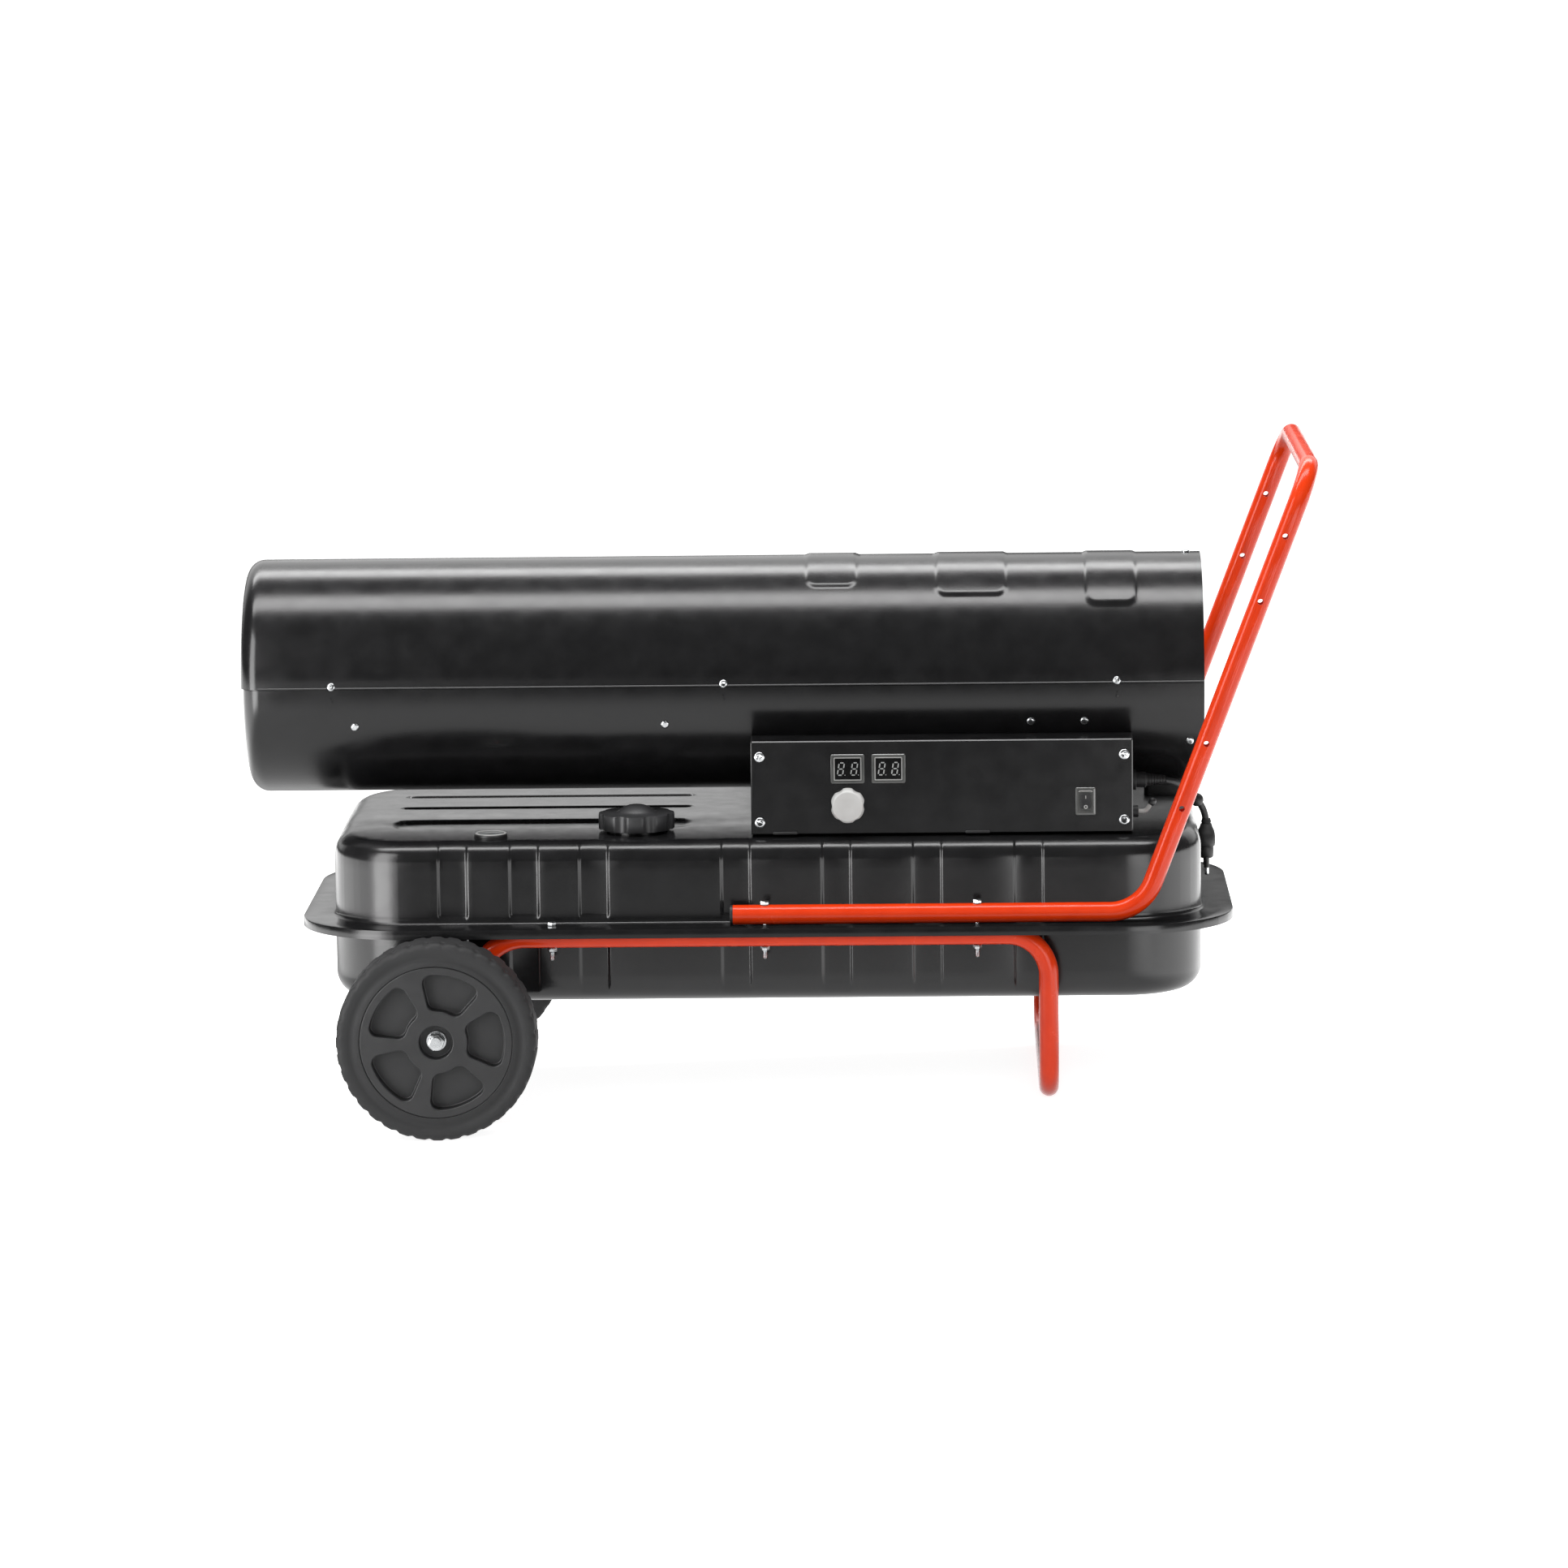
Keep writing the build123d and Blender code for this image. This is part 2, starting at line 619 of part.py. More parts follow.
def gauge_body():
    """Bezel, well, dial, needle pin, stem and the fork that carries the float arm."""
    top = TANK_TOP + GAUGE_BEZEL_RISE
    floor = TANK_TOP - GAUGE_WELL_DEPTH
    body = rod(GAUGE_BEZEL_R, gauge_point(TANK_TOP), gauge_point(top))
    body = chamfer(body.edges().group_by(Axis.Z)[-1], GAUGE_BEZEL_RISE / 4)
    body += rod(GAUGE_WELL_R + GAUGE_WALL, gauge_point(floor), gauge_point(TANK_TOP))
    dial = top - LENS_T - SEAT_GAP - 4 * NEEDLE_T
    body -= rod(GAUGE_WELL_R, gauge_point(dial), gauge_point(top))
    body += rod(GAUGE_PIN_R, gauge_point(dial), gauge_point(dial + 3 * NEEDLE_T))
    cheek_y = FORK_GAP / 2 + FORK_CHEEK
    half = FLOAT_HUB_R
    fork = block((GAUGE_X - half, GAUGE_X + half), (-cheek_y, cheek_y), (FLOAT_PIVOT_Z - half, floor))
    slot_top = FLOAT_PIVOT_Z + FLOAT_HUB_R + BODY_GAP
    across = (-FORK_GAP / 2, FORK_GAP / 2)
    slot = block((GAUGE_X - 2 * half, GAUGE_X + 2 * half), across, (FLOAT_PIVOT_Z - 2 * half, slot_top))
    body += Pos(0, GAUGE_Y, 0) * (fork - slot)
    return body + rod(FLOAT_PIN_R, *(float_point(y) for y in sides(cheek_y)))


def float_point(y):
    """Point on the float arm's pivot, measured across from the gauge's middle."""
    return (GAUGE_X, GAUGE_Y + y, FLOAT_PIVOT_Z)


def gauge_lens():
    """Clear disc over the dial."""
    top = TANK_TOP + GAUGE_BEZEL_RISE
    return rod(GAUGE_WELL_R - SEAT_GAP, gauge_point(top - LENS_T), gauge_point(top))


def gauge_needle():
    """Pointer that turns on the dial's pin."""
    dial = TANK_TOP + GAUGE_BEZEL_RISE - LENS_T - SEAT_GAP - 4 * NEEDLE_T
    low = dial + NEEDLE_T
    hub = rod(3 * GAUGE_PIN_R, gauge_point(low), gauge_point(low + NEEDLE_T))
    across = (GAUGE_Y - NEEDLE_T, GAUGE_Y + NEEDLE_T)
    hub += block((GAUGE_X - NEEDLE_REACH, GAUGE_X + NEEDLE_REACH / 3), across, (low, low + NEEDLE_T))
    return hub - rod(GAUGE_PIN_R + RUNNING_FIT, gauge_point(low), gauge_point(low + NEEDLE_T))


def float_arm():
    """Wire arm with a hub at the fork and a float at its end, as it hangs in an empty tank."""
    half_hub = FORK_GAP / 2 - BODY_GAP
    hub = rod(FLOAT_HUB_R, float_point(-half_hub), float_point(half_hub))
    turn = math.radians(FLOAT_REST_ANGLE)
    tip = Vector(GAUGE_X + FLOAT_ARM * math.cos(turn), GAUGE_Y, FLOAT_PIVOT_Z - FLOAT_ARM * math.sin(turn))
    arm = hub + rod(FLOAT_WIRE_R, float_point(0), tip)
    across = Vector(0, FLOAT_LENGTH / 2, 0)
    arm += rod(FLOAT_R, tip - across, tip + across)
    return arm - rod(FLOAT_PIN_R + RUNNING_FIT, float_point(-half_hub), float_point(half_hub))


# Barrel


def barrel_tube(front):
    """Whole tube of the barrel with its front edge rolled inwards."""
    bend = front + LIP_R
    outer = BARREL_Z + BARREL_R
    inner = outer - BARREL_WALL
    edge = outer - LIP_R
    outline = Polyline((bend, outer), (BARREL_BACK, outer), (BARREL_BACK, inner), (bend, inner))
    inner_arc = RadiusArc((bend, inner), (front + BARREL_WALL, edge), LIP_R - BARREL_WALL)
    closing = Line((front + BARREL_WALL, edge), (front, edge))
    outer_arc = RadiusArc((front, edge), (bend, outer), LIP_R)
    profile = Plane.XZ * make_face(outline + inner_arc + closing + outer_arc)
    return revolve(profile, Axis((0, 0, BARREL_Z), (1, 0, 0)), 360)


def screw_hole(x, angle):
    """Hole through the barrel's wall and what is behind it."""
    inner = off_axis(x, angle, BARREL_R - SCREW_LENGTH)
    outer = off_axis(x, angle, BARREL_R + SCREW_LENGTH)
    return rod(SCREW_R + HOLE_PLAY, inner, outer)


def seam_angle():
    """Angle from the top to the screws just above the seam."""
    return 90 - math.degrees(math.asin(SEAM_SCREW_RISE / BARREL_R))


def seam_screw_places():
    """Axial place and angle of each seam screw."""
    return [(x, angle) for x in SEAM_SCREW_X for angle in sides(seam_angle())]


def lower_screw_places():
    """Axial place and angle of each screw low on the barrel's sides."""
    return [(x, angle) for x in (*CHAMBER_SCREW_X, *MOTOR_SCREW_X) for angle in sides(LOWER_SCREW_ANGLE)]


def guard_screw_places():
    """Axial place and angle of each screw that holds the inlet guard."""
    return [(GUARD_SCREW_X, angle) for angle in GUARD_SCREW_ANGLES]


def embossed_pad(start, end, half_width):
    """Raised field of the upper shell, one sheet thick, as the part to add and the part to take out."""
    middle = (start + end) / 2
    length = end - start
    outline = Pos(middle, 0, BARREL_Z) * RectangleRounded(length, 2 * half_width, PAD_CORNER)
    within = Pos(middle, 0, BARREL_Z) * RectangleRounded(
        length - 2 * BARREL_WALL, 2 * (half_width - BARREL_WALL), PAD_CORNER - BARREL_WALL
    )
    height = BARREL_R + 2 * PAD_RISE
    inside = BARREL_BORE_R + BARREL_WALL / 2
    raised = extrude(outline, height) & drum_ring(BARREL_R + PAD_RISE, inside, start, end)
    inside = BARREL_BORE_R - BARREL_WALL
    hollow = extrude(within, height) & drum_ring(BARREL_BORE_R + PAD_RISE, inside, start, end)
    return raised, hollow


def barrel_upper_shell():
    """Upper half of the barrel, with its three raised fields."""
    reach = BARREL_R + 4 * PAD_RISE
    above = block((BARREL_FRONT - 1, BARREL_BACK + 1), sides(reach), (BARREL_Z, BARREL_Z + reach))
    shell = barrel_tube(BARREL_FRONT) & above
    for pad in PADS:
        raised, hollow = embossed_pad(*pad)
        shell = shell + raised - hollow
    shell = shell - [screw_hole(*place) for place in seam_screw_places()]
    return shell - screw_hole(GUARD_SCREW_X, 0.0)


def barrel_lower_shell():
    """Lower half of the barrel, with the strip that laps inside the upper shell at each seam."""
    front = BARREL_FRONT + LOWER_FRONT_STEP
    below = block((front - 1, BARREL_BACK + 1), sides(BARREL_R + 1), (BARREL_Z - BARREL_R - 1, BARREL_Z))
    shell = barrel_tube(front) & below
    strip_start = front + LIP_R
    outer = BARREL_BORE_R - RUNNING_FIT
    inner = outer - BARREL_WALL
    lap = drum_ring(outer, inner, strip_start, BARREL_BACK)
    root = drum_ring(BARREL_R, inner, strip_start, BARREL_BACK)
    wide = sides(BARREL_R + 1)
    shell += lap & block((strip_start, BARREL_BACK), wide, (BARREL_Z, BARREL_Z + LAP_RISE))
    shell += root & block((strip_start, BARREL_BACK), wide, (BARREL_Z - LAP_DEPTH, BARREL_Z))
    places = seam_screw_places() + lower_screw_places() + guard_screw_places()[1:]
    shell = shell - [screw_hole(*place) for place in places]
    for x, radius in hose_places():
        bottom = BARREL_Z - BARREL_R - GROMMET_WALL
        shell -= rod(radius + GROMMET_WALL + SEAT_GAP, (x, 0, bottom), (x, 0, bottom + 3 * GROMMET_WALL))
    return shell


def shell_screws():
    """Pan-head screws of the seams, the brackets and the guard."""
    screws = []
    for x, angle in seam_screw_places() + lower_screw_places() + guard_screw_places():
        surface = off_axis(x, angle, BARREL_R)
        head = rod(SCREW_HEAD_R, surface, off_axis(x, angle, BARREL_R + SCREW_HEAD_T))
        screws.append(head + rod(SCREW_R, off_axis(x, angle, BARREL_R - SCREW_LENGTH), surface))
    return screws


def inlet_guard():
    """Wire guard over the air inlet, welded to a rim inside the shells."""
    outer = BARREL_BORE_R - RUNNING_FIT - BARREL_WALL - RUNNING_FIT
    rim_start = BARREL_BACK - GUARD_RIM_LENGTH
    guard = drum_ring(outer, outer - GUARD_RIM_T, rim_start, BARREL_BACK)
    face = BARREL_BACK - 2 * GUARD_WIRE_R
    reach = (GUARD_RINGS[0], outer - GUARD_RIM_T / 2)
    for spoke in range(GUARD_SPOKES):
        angle = 360 / GUARD_SPOKES * (spoke + 0.5)
        guard += rod(GUARD_SPOKE_R, *(off_axis(face - GUARD_SPOKE_R, angle, radius) for radius in reach))
    for radius in GUARD_RINGS:
        front = face - GUARD_WIRE_R
        guard += drum_ring(radius + GUARD_WIRE_R, radius - GUARD_WIRE_R, front, face + GUARD_WIRE_R)
    return guard - [screw_hole(*place) for place in guard_screw_places()]


# Base box and panels


def panel_screw_places():
    """Places of the panel screws, along and up."""
    along = (BOX_FRONT + PANEL_SCREW_INSET, BOX_BACK - PANEL_SCREW_INSET)
    return [(x, TANK_TOP + z) for x in along for z in (PANEL_SCREW_LOW, PANEL_SCREW_HIGH)]


def panel_screw_hole(x, z):
    """Hole right across the box, for the screw of each side's panel."""
    reach = BOX_HALF_WIDTH + 2 * PANEL_T
    return rod(SCREW_R + HOLE_PLAY, (x, -reach, z), (x, reach, z))


def base_box():
    """Folded sheet box with in-turned side flanges and a saddle for the barrel in its top and ends."""
    box = block((BOX_FRONT, BOX_BACK), sides(BOX_HALF_WIDTH), (TANK_TOP, BOX_TOP))
    inside = BOX_HALF_WIDTH - SHEET
    box -= block((BOX_FRONT + SHEET, BOX_BACK - SHEET), sides(inside), (BOX_FLOOR, BOX_TOP - SHEET))
    window = (BOX_FRONT + BOX_FLANGE_X, BOX_BACK - BOX_FLANGE_X)
    upright = (TANK_TOP + BOX_FLANGE_Z, BOX_TOP - BOX_FLANGE_Z)
    box -= block(window, sides(BOX_HALF_WIDTH + 1), upright)
    box -= drum(BARREL_R + SADDLE_GAP, BOX_FRONT - 1, BOX_BACK + 1)
    box = box - [panel_screw_hole(x, z) for x, z in panel_screw_places()]
    box -= rod(PICKUP_FLANGE_R + BODY_GAP, (FUEL_X, 0, TANK_TOP), (FUEL_X, 0, BOX_FLOOR))
    for x in STUD_X:
        for y in sides(STUD_Y):
            box -= rod(BOLT_R + HOLE_PLAY, (x, y, TANK_TOP), (x, y, BOX_FLOOR))
    wall = (BOX_BACK - SHEET, BOX_BACK)
    box -= rod(GLAND_R + SEAT_GAP, *((x, GLAND_Y, TANK_TOP + GLAND_Z) for x in wall))
    return box - rod(SENSOR_GROMMET_R + SEAT_GAP, *((x, SENSOR_Y, TANK_TOP + SENSOR_Z) for x in wall))


def plain_panel(inner_y, outer_y):
    """Flat cover over one side of the base box, with its screw holes."""
    across = sorted((inner_y, outer_y))
    panel = block((BOX_FRONT, BOX_BACK), across, (TANK_TOP, BOX_TOP))
    return panel - [panel_screw_hole(x, z) for x, z in panel_screw_places()]


def panel_cutout(x, z, width, height):
    """Rectangular hole through the control panel."""
    along, up = frame_limits(x, z, width, height)
    return block(along, (PANEL_Y, PANEL_Y + PANEL_T), up)


def control_panel():
    """Near cover, with openings for the displays, the thermostat and the switch."""
    panel = plain_panel(-BOX_HALF_WIDTH, PANEL_Y)
    for x in DISPLAY_X:
        width = DISPLAY_WIDTH - 2 * DISPLAY_RIM + 2 * SEAT_GAP
        height = DISPLAY_HEIGHT - 2 * DISPLAY_RIM + 2 * SEAT_GAP
        panel -= panel_cutout(x, TANK_TOP + DISPLAY_Z, width, height)
    width = SWITCH_WIDTH - 2 * SWITCH_RIM + 2 * SEAT_GAP
    height = SWITCH_HEIGHT - 2 * SWITCH_RIM + 2 * SEAT_GAP
    panel -= panel_cutout(SWITCH_X, TANK_TOP + SWITCH_Z, width, height)
    return panel - rod(POT_BUSH_R + SEAT_GAP, knob_point(PANEL_Y), knob_point(PANEL_Y + PANEL_T))


def back_panel():
    """Plain far cover."""
    return plain_panel(BOX_HALF_WIDTH, BOX_HALF_WIDTH + PANEL_T)


def panel_screws():
    """Pan-head screws of both covers."""
    screws = []
    for x, z in panel_screw_places():
        for side in sides(1):
            face = BOX_HALF_WIDTH + PANEL_T
            head = rod(PANEL_SCREW_HEAD_R, (x, side * face, z), (x, side * (face + SCREW_HEAD_T), z))
            screws.append(head + rod(SCREW_R, (x, side * (face - SCREW_LENGTH), z), (x, side * face, z)))
    return screws


# Controls


def frame_limits(x, z, width, height):
    """Limits, along and up, of a rectangle on the panel."""
    return (x - width / 2, x + width / 2), (z - height / 2, z + height / 2)


def display_modules():
    """Two like modules: a proud bezel with a sunk window, and a body that reaches the circuit board."""
    modules = []
    z = TANK_TOP + DISPLAY_Z
    front = PANEL_Y - DISPLAY_PROUD
    for x in DISPLAY_X:
        along, up = frame_limits(x, z, DISPLAY_WIDTH, DISPLAY_HEIGHT)
        bezel = block(along, (front, PANEL_Y), up)
        along, up = frame_limits(x, z, DISPLAY_WIDTH - 2 * DISPLAY_RIM, DISPLAY_HEIGHT - 2 * DISPLAY_RIM)
        bezel += block(along, (PANEL_Y, BOARD_Y), up)
        along, up = frame_limits(x, z, WINDOW_WIDTH, WINDOW_HEIGHT)
        modules.append(bezel - block(along, (front, front + WINDOW_RECESS), up))
    return modules


def circuit_board():
    """Board behind the displays, which carry it."""
    height = (TANK_TOP + BOARD_Z[0], TANK_TOP + BOARD_Z[1])
    return block(BOARD_X, (BOARD_Y, BOARD_Y + BOARD_T), height)


def knob_point(y):
    """Point on the thermostat's axis."""
    return (KNOB_X, y, TANK_TOP + KNOB_Z)


def thermostat_pot():
    """Potentiometer soldered to the board, with a bush through the panel."""
    pot = rod(POT_R, knob_point(PANEL_Y + PANEL_T), knob_point(BOARD_Y))
    pot += rod(POT_BUSH_R, knob_point(PANEL_Y), knob_point(PANEL_Y + PANEL_T))
    bore_end = PANEL_Y + KNOB_SHAFT_LENGTH + BODY_GAP
    return pot - rod(KNOB_SHAFT_R + RUNNING_FIT, knob_point(PANEL_Y), knob_point(bore_end))


def thermostat_knob():
    """Lobed knob with the shaft that turns in the potentiometer."""
    back = PANEL_Y - BODY_GAP
    front = PANEL_Y - KNOB_DEPTH
    knob = rod(KNOB_R, knob_point(back), knob_point(front))
    knob = fillet(knob.edges().group_by(Axis.Y)[0], KNOB_NOTCH_DEPTH / 2)
    reach = KNOB_R - KNOB_NOTCH_DEPTH + KNOB_NOTCH_R
    for lobe in range(KNOB_LOBES):
        turn = math.radians(360 / KNOB_LOBES * lobe)
        offset = Vector(reach * math.cos(turn), 0, reach * math.sin(turn))
        knob -= rod(KNOB_NOTCH_R, Vector(knob_point(back)) + offset, Vector(knob_point(front)) + offset)
    return knob + rod(KNOB_SHAFT_R, knob_point(PANEL_Y + KNOB_SHAFT_LENGTH), knob_point(back))


def switch_frame():
    """Frame and body of the power switch, with the well that the rocker turns in."""
    z = TANK_TOP + SWITCH_Z
    pivot_y = rocker_pivot_y()
    front = PANEL_Y - SWITCH_PROUD
    along, up = frame_limits(SWITCH_X, z, SWITCH_WIDTH, SWITCH_HEIGHT)
    frame = block(along, (front, PANEL_Y), up)
    along, up = frame_limits(SWITCH_X, z, SWITCH_WIDTH - 2 * SWITCH_RIM, SWITCH_HEIGHT - 2 * SWITCH_RIM)
    frame += block(along, (PANEL_Y, PANEL_Y + SWITCH_BODY_DEPTH), up)
    half_height = math.hypot(ROCKER_HALF_HEIGHT, SWITCH_PROUD) + BODY_GAP
    along, up = frame_limits(SWITCH_X, z, 2 * (ROCKER_HALF_WIDTH + BODY_GAP), 2 * half_height)
    return frame - block(along, (front, pivot_y + WELL_DEPTH), up)


def rocker_pivot_y():
    """The rocker turns in the plane of the panel's outer face."""
    return PANEL_Y


def switch_rocker():
    """Rocker pressed in at its upper end, which is on."""
    tail = ROCKER_HALF_HEIGHT * 2 / 3
    outline = Polyline(
        (0, -ROCKER_REACH + ROCKER_DIP),
        (ROCKER_HALF_HEIGHT, -ROCKER_REACH),
        (ROCKER_HALF_HEIGHT, -SWITCH_PROUD),
        (tail, tail),
        (-tail, tail),
        (-ROCKER_HALF_HEIGHT, -SWITCH_PROUD),
        (-ROCKER_HALF_HEIGHT, -ROCKER_REACH),
        (0, -ROCKER_REACH + ROCKER_DIP),
    )
    side = Plane(origin=(SWITCH_X - ROCKER_HALF_WIDTH, 0, 0), x_dir=(0, 0, 1), z_dir=(1, 0, 0))
    flat = make_face(outline)
    flat = Rot(0, 0, ROCKER_TILT) * flat
    rocker = extrude(side * (mirror(flat, Plane.XZ)), 2 * ROCKER_HALF_WIDTH)
    return Pos(0, rocker_pivot_y(), TANK_TOP + SWITCH_Z) * rocker


# Electrical pieces in the base box


def ignition_transformer():
    """Potted block on the box's floor."""
    length, width, height = TRANSFORMER
    near = -BOX_HALF_WIDTH + SHEET + 8 * BODY_GAP
    along = (TRANSFORMER_X - length / 2, TRANSFORMER_X + length / 2)
    return block(along, (near, near + width), (BOX_FLOOR, BOX_FLOOR + height))


def motor_capacitor():
    """Round capacitor lying on the box's floor, on the far side."""
    z = BOX_FLOOR + CAPACITOR_R
    start = CAPACITOR_X - CAPACITOR_LENGTH / 2
    return rod(CAPACITOR_R, (start, CAPACITOR_Y, z), (start + CAPACITOR_LENGTH, CAPACITOR_Y, z))


# Cables and hoses


def hose_places():
    """Place along the barrel and outer radius of each hose that passes through its floor."""
    return ((FUEL_X, FUEL_HOSE_R), (AIR_HOSE_X, AIR_HOSE_R), (pump_port_x(), AIR_HOSE_R))


def pump_port_x():
    """Middle of the pump's body, where its air outlet is."""
    return MOTOR_BACK + PUMP_LENGTH / 2


def cable_grommets():
    """Mains gland, sensor grommet and the hose grommets in the barrel's floor."""
    wall = BOX_BACK
    gland_z = TANK_TOP + GLAND_Z
    gland_start = (wall - SHEET - GLAND_FLANGE_T, GLAND_Y, gland_z)
    gland = rod(GLAND_R, gland_start, (wall + GLAND_LENGTH, GLAND_Y, gland_z))
    gland += rod(GLAND_FLANGE_R, (wall, GLAND_Y, gland_z), (wall + GLAND_FLANGE_T, GLAND_Y, gland_z))
    back = wall - SHEET - GLAND_FLANGE_T / 2
    sensor_z = TANK_TOP + SENSOR_Z
    sensor = pipe(
        SENSOR_GROMMET_R,
        SENSOR_R + RUNNING_FIT,
        (back, SENSOR_Y, sensor_z),
        (wall + SENSOR_GROMMET_LENGTH, SENSOR_Y, sensor_z),
    )
    pieces = [gland, sensor]
    floor = BARREL_Z - BARREL_R
    for x, radius in hose_places():
        low = floor - GROMMET_FLANGE
        high = floor + BARREL_WALL + GROMMET_FLANGE
        ring = rod(radius + GROMMET_WALL, (x, 0, low), (x, 0, high))
        ring += rod(radius + GROMMET_WALL + GROMMET_FLANGE, (x, 0, low), (x, 0, floor - SEAT_GAP))
        pieces.append(ring - rod(radius + RUNNING_FIT, (x, 0, low), (x, 0, high)))
    return pieces


def room_sensor():
    """Stiff bent stem with a bulb, which feels the room's air behind the box."""
    z = TANK_TOP + SENSOR_Z
    start = (BOX_BACK - SHEET, SENSOR_Y, z)
    corner = (BOX_BACK + SENSOR_REACH, SENSOR_Y, z)
    end = (BOX_BACK + SENSOR_REACH + SENSOR_RISE / 2, SENSOR_Y, z + SENSOR_RISE)
    path = FilletPolyline(start, corner, end, radius=2 * SENSOR_R)
    stem = sweep(Plane(origin=path @ 0, z_dir=path % 0) * Circle(SENSOR_R), path=path)
    return stem + Pos(*end) * Sphere(SENSOR_BULB_R)


def cord_radii(points):
    """Bend radius at each inner point: 0.45 of the shorter run over the tangent of half the turn."""
    radii = []
    for before, here, after in zip(points, points[1:], points[2:]):
        one = Vector(here) - Vector(before)
        two = Vector(after) - Vector(here)
        half_turn = math.radians(one.get_angle(two) / 2)
        radii.append(0.45 * min(one.length, two.length) / math.tan(half_turn))
    return radii


def power_cord():
    """Short mains lead from the gland, over the tank's rear edge, down to its plug."""
    radii = cord_radii(CORD_POINTS)
    path = FilletPolyline(*CORD_POINTS, radius=radii)
    cord = sweep(Plane(origin=path @ 0, z_dir=path % 0) * Circle(CORD_R), path=path)
    print("cord radii", [round(radius, 1) for radius in radii], "length", round(path.length, 1))
    tube_volume = math.pi * CORD_R**2 * path.length
    print("cord volume over section times length", round(cord.volume / tube_volume, 4))
    return cord


def power_plug():
    """Moulded plug with a sleeve round the cord's end and two round pins."""
    x, y, z = CORD_POINTS[-1]
    base = z - PLUG_SLEEVE_LENGTH - PLUG_HEIGHT
    outline = Pos(x, y, base) * RectangleRounded(PLUG_THICKNESS, PLUG_WIDTH, PLUG_CORNER)
    plug = extrude(outline, PLUG_HEIGHT)
    plug += rod(PLUG_SLEEVE_R, (x, y, base + PLUG_HEIGHT), (x, y, z))
    for offset in sides(PIN_SPACING / 2):
        plug += rod(PIN_R, (x, y + offset, base - PIN_LENGTH), (x, y + offset, base))
    return plug


def fuel_hose():
    """Straight hose from the pick-up's stub to the nozzle's."""
    low = TANK_TOP + PICKUP_FLANGE_T
    high = BARREL_Z - NOZZLE_R - SEAT_GAP
    return pipe(FUEL_HOSE_R, STUB_R + RUNNING_FIT, (FUEL_X, 0, low), (FUEL_X, 0, high))


def air_hose():
    """Hose from the pump, along the base box, up to the nozzle's tail."""
    port = pump_port_x()
    start = (port, 0, BARREL_Z - PUMP_R - SEAT_GAP)
    tail = nozzle_back() + SEAT_GAP
    points = [
        start,
        (port, 0, AIR_HOSE_Z),
        (AIR_HOSE_X, 0, AIR_HOSE_Z),
        (AIR_HOSE_X, 0, BARREL_Z),
        (tail, 0, BARREL_Z),
    ]
    return bent_tube(points, [AIR_HOSE_BEND] * 3, AIR_HOSE_R, STUB_R + RUNNING_FIT)


def fuel_pickup():
    """Flange on the tank's top, with a tube down to a filter near the floor."""
    foot = TANK_BOTTOM + SHEET + PICKUP_FLOOR_GAP
    pickup = rod(PICKUP_FLANGE_R, (FUEL_X, 0, TANK_TOP), (FUEL_X, 0, TANK_TOP + PICKUP_FLANGE_T))
    pickup += rod(STUB_R, (FUEL_X, 0, foot), (FUEL_X, 0, TANK_TOP + PICKUP_FLANGE_T + STUB_LENGTH))
    return pickup + rod(PICKUP_FILTER_R, (FUEL_X, 0, foot), (FUEL_X, 0, foot + PICKUP_FILTER_LENGTH))


# Combustion chamber and burner


def combustion_chamber():
    """Thin tube with an inward lip in front and two rows of air holes."""
    chamber = drum_ring(CHAMBER_R, CHAMBER_R - BARREL_WALL, CHAMBER_FRONT, CHAMBER_BACK)
    chamber += drum_ring(CHAMBER_R, CHAMBER_R - CHAMBER_LIP, CHAMBER_FRONT, CHAMBER_FRONT + BARREL_WALL)
    for x in CHAMBER_HOLE_X:
        for hole in range(CHAMBER_HOLES):
            angle = 360 / CHAMBER_HOLES * (hole + 0.5)
            ends = [off_axis(x, angle, CHAMBER_R + step) for step in (-3 * BARREL_WALL, BARREL_WALL)]
            chamber -= rod(CHAMBER_HOLE_R, *ends)
    return chamber


def flame_baffle():
    """Disc in the chamber's mouth, on three arms."""
    baffle = drum(BAFFLE_R, BAFFLE_X, BAFFLE_X + BAFFLE_T)
    reach = CHAMBER_R - BARREL_WALL - SEAT_GAP
    ring = drum_ring(reach, BAFFLE_R / 2, BAFFLE_X, BAFFLE_X + BAFFLE_T)
    for arm in range(BAFFLE_ARMS):
        bar = block((BAFFLE_X, BAFFLE_X + BAFFLE_T), sides(BAFFLE_ARM_WIDTH / 2), (0, CHAMBER_R))
        baffle += ring & (Pos(0, 0, BARREL_Z) * Rot(360 / BAFFLE_ARMS * arm, 0, 0) * bar)
    return baffle


def sector(inner, outer, front, back, angle, spread):
    """Part of a ring round the barrel's axis, either side of an angle."""
    reach = 2 * outer
    half = reach * math.tan(math.radians(spread))
    wedge = Polyline((0, 0), (-half, reach), (half, reach), (0, 0))
    side = Plane(origin=(front, 0, BARREL_Z), x_dir=(0, 1, 0), z_dir=(1, 0, 0))
    cut = extrude(side * Rot(0, 0, angle) * make_face(wedge), back - front)
    return drum_ring(outer, inner, front, back) & cut


def bracket(inner, outer, front, back, angle):
    """Z-shaped bracket: a foot on the inner piece, a web, and a foot on the barrel's wall."""
    piece = sector(inner, inner + BRACKET_T, front, back, angle, BRACKET_SPREAD * outer / inner)
    piece += sector(outer - BRACKET_T, outer, front, back, angle, BRACKET_SPREAD)
    web = block((front, back), (-BRACKET_T / 2, BRACKET_T / 2), (0, 2 * outer))
    web = Pos(0, 0, BARREL_Z) * Rot(angle, 0, 0) * Pos(0, BRACKET_T, 0) * Pos(0, SCREW_HEAD_R, 0) * web
    ring = drum_ring(outer - BRACKET_T / 2, inner + BRACKET_T / 2, front, back)
    return piece + (web & ring)


